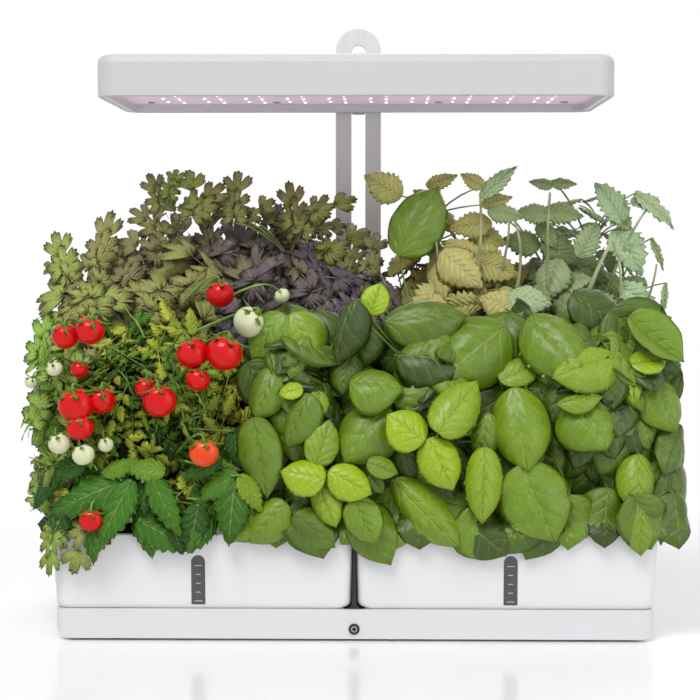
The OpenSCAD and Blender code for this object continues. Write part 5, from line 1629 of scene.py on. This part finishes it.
balmMiddle = [
    (18, 2, 304, 32, 26, 150, -10, 10, "balm", 0.95), (61, 2, 308, 25, 13, 20, 0, 30, "balm", 0.7),
    (49, -6, 296, 22, 14, 150, 0, 30, "balm", 0.55),
    (81, -20, 307, 20, 13, 150, 0, 20, "balm", 0.6),
    (99, -14, 293, 24, 13, 15, 0, 25, "balm", 0.62),
    (80, -10, 276, 32, 22, 190, 0, 25, "balm", 0.5),
    (93, -6, 267, 29, 22, -20, 0, 20, "balm", 0.45),
    (73, -16, 260, 31, 19, 160, 0, 30, "balm", 0.65),
    (74, -30, 245, 40, 32, -42, 0, 20, "quilted", 0.72),
    (99, -24, 246, 33, 26, -20, 0, 25, "balm", 0.42),
    (99, -44, 223, 31, 28, 165, 0, 40, "quilted", 0.66)]
mintRight = [
    (100, -20, 307, 37, 14, 42, 0, 20, "balm", 0.72),
    (105, -20, 284, 27, 16, -12, 0, 30, "balm", 0.4),
    (120, -46, 225, 32, 25, -12, 0, 40, "quilted", 0.72),
    (131, 0, 306, 19, 10, 172, 0, 45, "balm", 0.4), (147, 0, 306, 20, 10, -4, 0, 45, "balm", 0.4),
    (124, -6, 285, 26, 17, 178, 0, 35, "balm", 0.35),
    (147, -6, 285, 29, 19, -10, 0, 35, "balm", 0.35),
    (136, 0, 269, 25, 16, -60, 0, 20, "balm", 0.38),
    (117, 6, 264, 29, 22, 170, 0, 20, "balm", 0.3),
    (145, 0, 258, 33, 26, -40, 0, 10, "balm", 0.25),
    (168, 10, 243, 34, 25, -30, 0, 10, "balm", 0.2),
    (156, 0, 233, 32, 25, -150, 0, 10, "balm", 0.22),
    (178, -14, 293, 36, 24, 125, 10, 20, "mint", 0.8),
    (187, -10, 279, 22, 17, -40, 10, 20, "mint", 0.7),
    (164, -10, 266, 30, 22, 62, 5, 15, "mint", 0.62),
    (192, -16, 257, 40, 30, -60, 10, 15, "mint", 0.8),
    (202, -20, 293, 21, 13, 8, 10, 30, "mint", 0.6),
    (225, -24, 286, 40, 14, -42, 15, 25, "mint", 0.7),
    (212, -14, 255, 26, 7, -70, 15, 15, "mint", 0.5),
    (199, -20, 223, 36, 24, -42, 15, 15, "mint", 0.85),
    (217, -12, 223, 26, 7, -100, 10, 15, "mint", 0.7),
    (230, -50, 187, 18, 12, -20, 20, 20, "mint", 0.9),
    (229, -50, 177, 14, 10, -80, 20, 10, "mint", 0.85),
    (195, -10, 235, 22, 14, 170, 0, 20, "mint", 0.6)]
balmStalks = [
    ((90, -34, 246), (86, -32, 294), 1.3), ((108, -34, 252), (106, -30, 279), 1.0),
    ((125, -36, 238), (110, -30, 278), 1.1), ((59, -26, 242), (56, -20, 264), 0.9)]
mintStalks = [
    ((130, -30, 248), (135, -24, 298), 1.2), ((149, -44, 215), (177, -28, 263), 1.7),
    ((184, -26, 270), (210, -22, 295), 1.0), ((206, -26, 218), (210, -20, 248), 0.9),
    ((194, -30, 225), (179, -22, 264), 1.0)]
mintFront = {"step": 17, "size": (26, 36), "broad": (0.68, 0.82), "tip": -90, "sway": 60,
             "face": 15, "look": 30, "kinds": ["balm", "mint", "quilted"]}
mintPlants = {
    "balmMiddle": {
        "node": "mint_middle", "pod": 7, "shown": balmMiddle, "outer": 40, "inner": 26,
        "outerTones": (0.2, 0.6), "finish": "balmLeaf", "stalks": balmStalks,
        "seeds": {"front": 84, "outer": 81, "inner": 91}, "fronts": [
            {**mintFront, "low": 206, "y": -34, "lean": 30, "tones": (0.3, 0.8), "step": 21,
             "top": [(34, 230), (56, 250), (84, 264), (112, 250)]},
            # The layer behind is in dark tones: painted shade
            {**mintFront, "low": 196, "y": -8, "lean": 24, "tones": (0.0, 0.3),
             "top": [(30, 230), (60, 250), (112, 248)]}]},
    "mintRight": {
        "node": "mint_right", "pod": 8, "shown": mintRight, "outer": 40, "inner": 26,
        "outerTones": (0.2, 0.6), "finish": "mintLeaf", "stalks": mintStalks,
        "seeds": {"front": 87, "outer": 82, "inner": 92}, "fronts": [
            {**mintFront, "low": 206, "y": -30, "lean": 30, "tones": (0.15, 0.55), "step": 22,
             "top": [(112, 240), (150, 246), (190, 226), (222, 212)]},
            # The layer behind is in dark tones: painted shade
            {**mintFront, "low": 196, "y": -4, "lean": 24, "tones": (0.0, 0.2),
             "top": [(110, 244), (160, 240), (222, 210)]}]},
}
# The inner crown is in dark tones: painted shade inside the plant
mint = {
    "name": "mint", "kinds": ["plain", "plainBent"], "leaf": 27, "innerShadeTones": (0.0, 0.3),
    "outer": {"lean": 0.9, "front": 0.7, "margin": 14}, "inner": {"depths": (0.4, 0.75)},
    "stem": {"count": 11, "reach": 0.75, "top": 0.92, "thick": 1.3, "stalk": 0.7, "sink": 0.07},
}


def growHerb(herb, plants):
    # The leaves set one by one, then fronts of leaves, then a crown whose core is in dark tones,
    # painted shade inside the plant
    for label, plant in plants.items():
        node, pod, seeds = plant["node"], podPlace(plant["pod"]), plant["seeds"]
        rows = [shown(entry) for entry in plant["shown"]]
        for k, front in enumerate(plant["fronts"]):
            rows += wall(front, seeds["front"] + k)
        outer = crown(node, plant["outer"], seeds["outer"], herb["kinds"], herb["leaf"],
                      plant["outerTones"], **herb["outer"])
        inner = crown(node, plant["inner"], seeds["inner"], herb["kinds"], herb["leaf"],
                      herb["innerShadeTones"], **herb["inner"])
        if "raise" in herb:
            for row in outer + inner:
                raised = row["along"] + [0, 0, herb["raise"]]
                row["facing"], row["along"] = straight(row["facing"], raised)
        stems = stemsOf(rows + outer, node, pod, herb["stem"])
        for low, high, radius in plant.get("stalks", []):
            low, high = np.array(low) * mm, np.array(high) * mm
            foot = pod + (low - pod) * [0.5, 0.5, 0.6]
            stems.append(arch(foot, low, high, radius * 1.4 * mm, radius * 0.7 * mm, steps=12))
        leafyPlant(label, node, rows + outer + inner, herb["name"], plant["finish"], stems)


growBasil()
growTomato()
growHerb(parsley, parsleyPlants)
growHerb(mint, mintPlants)
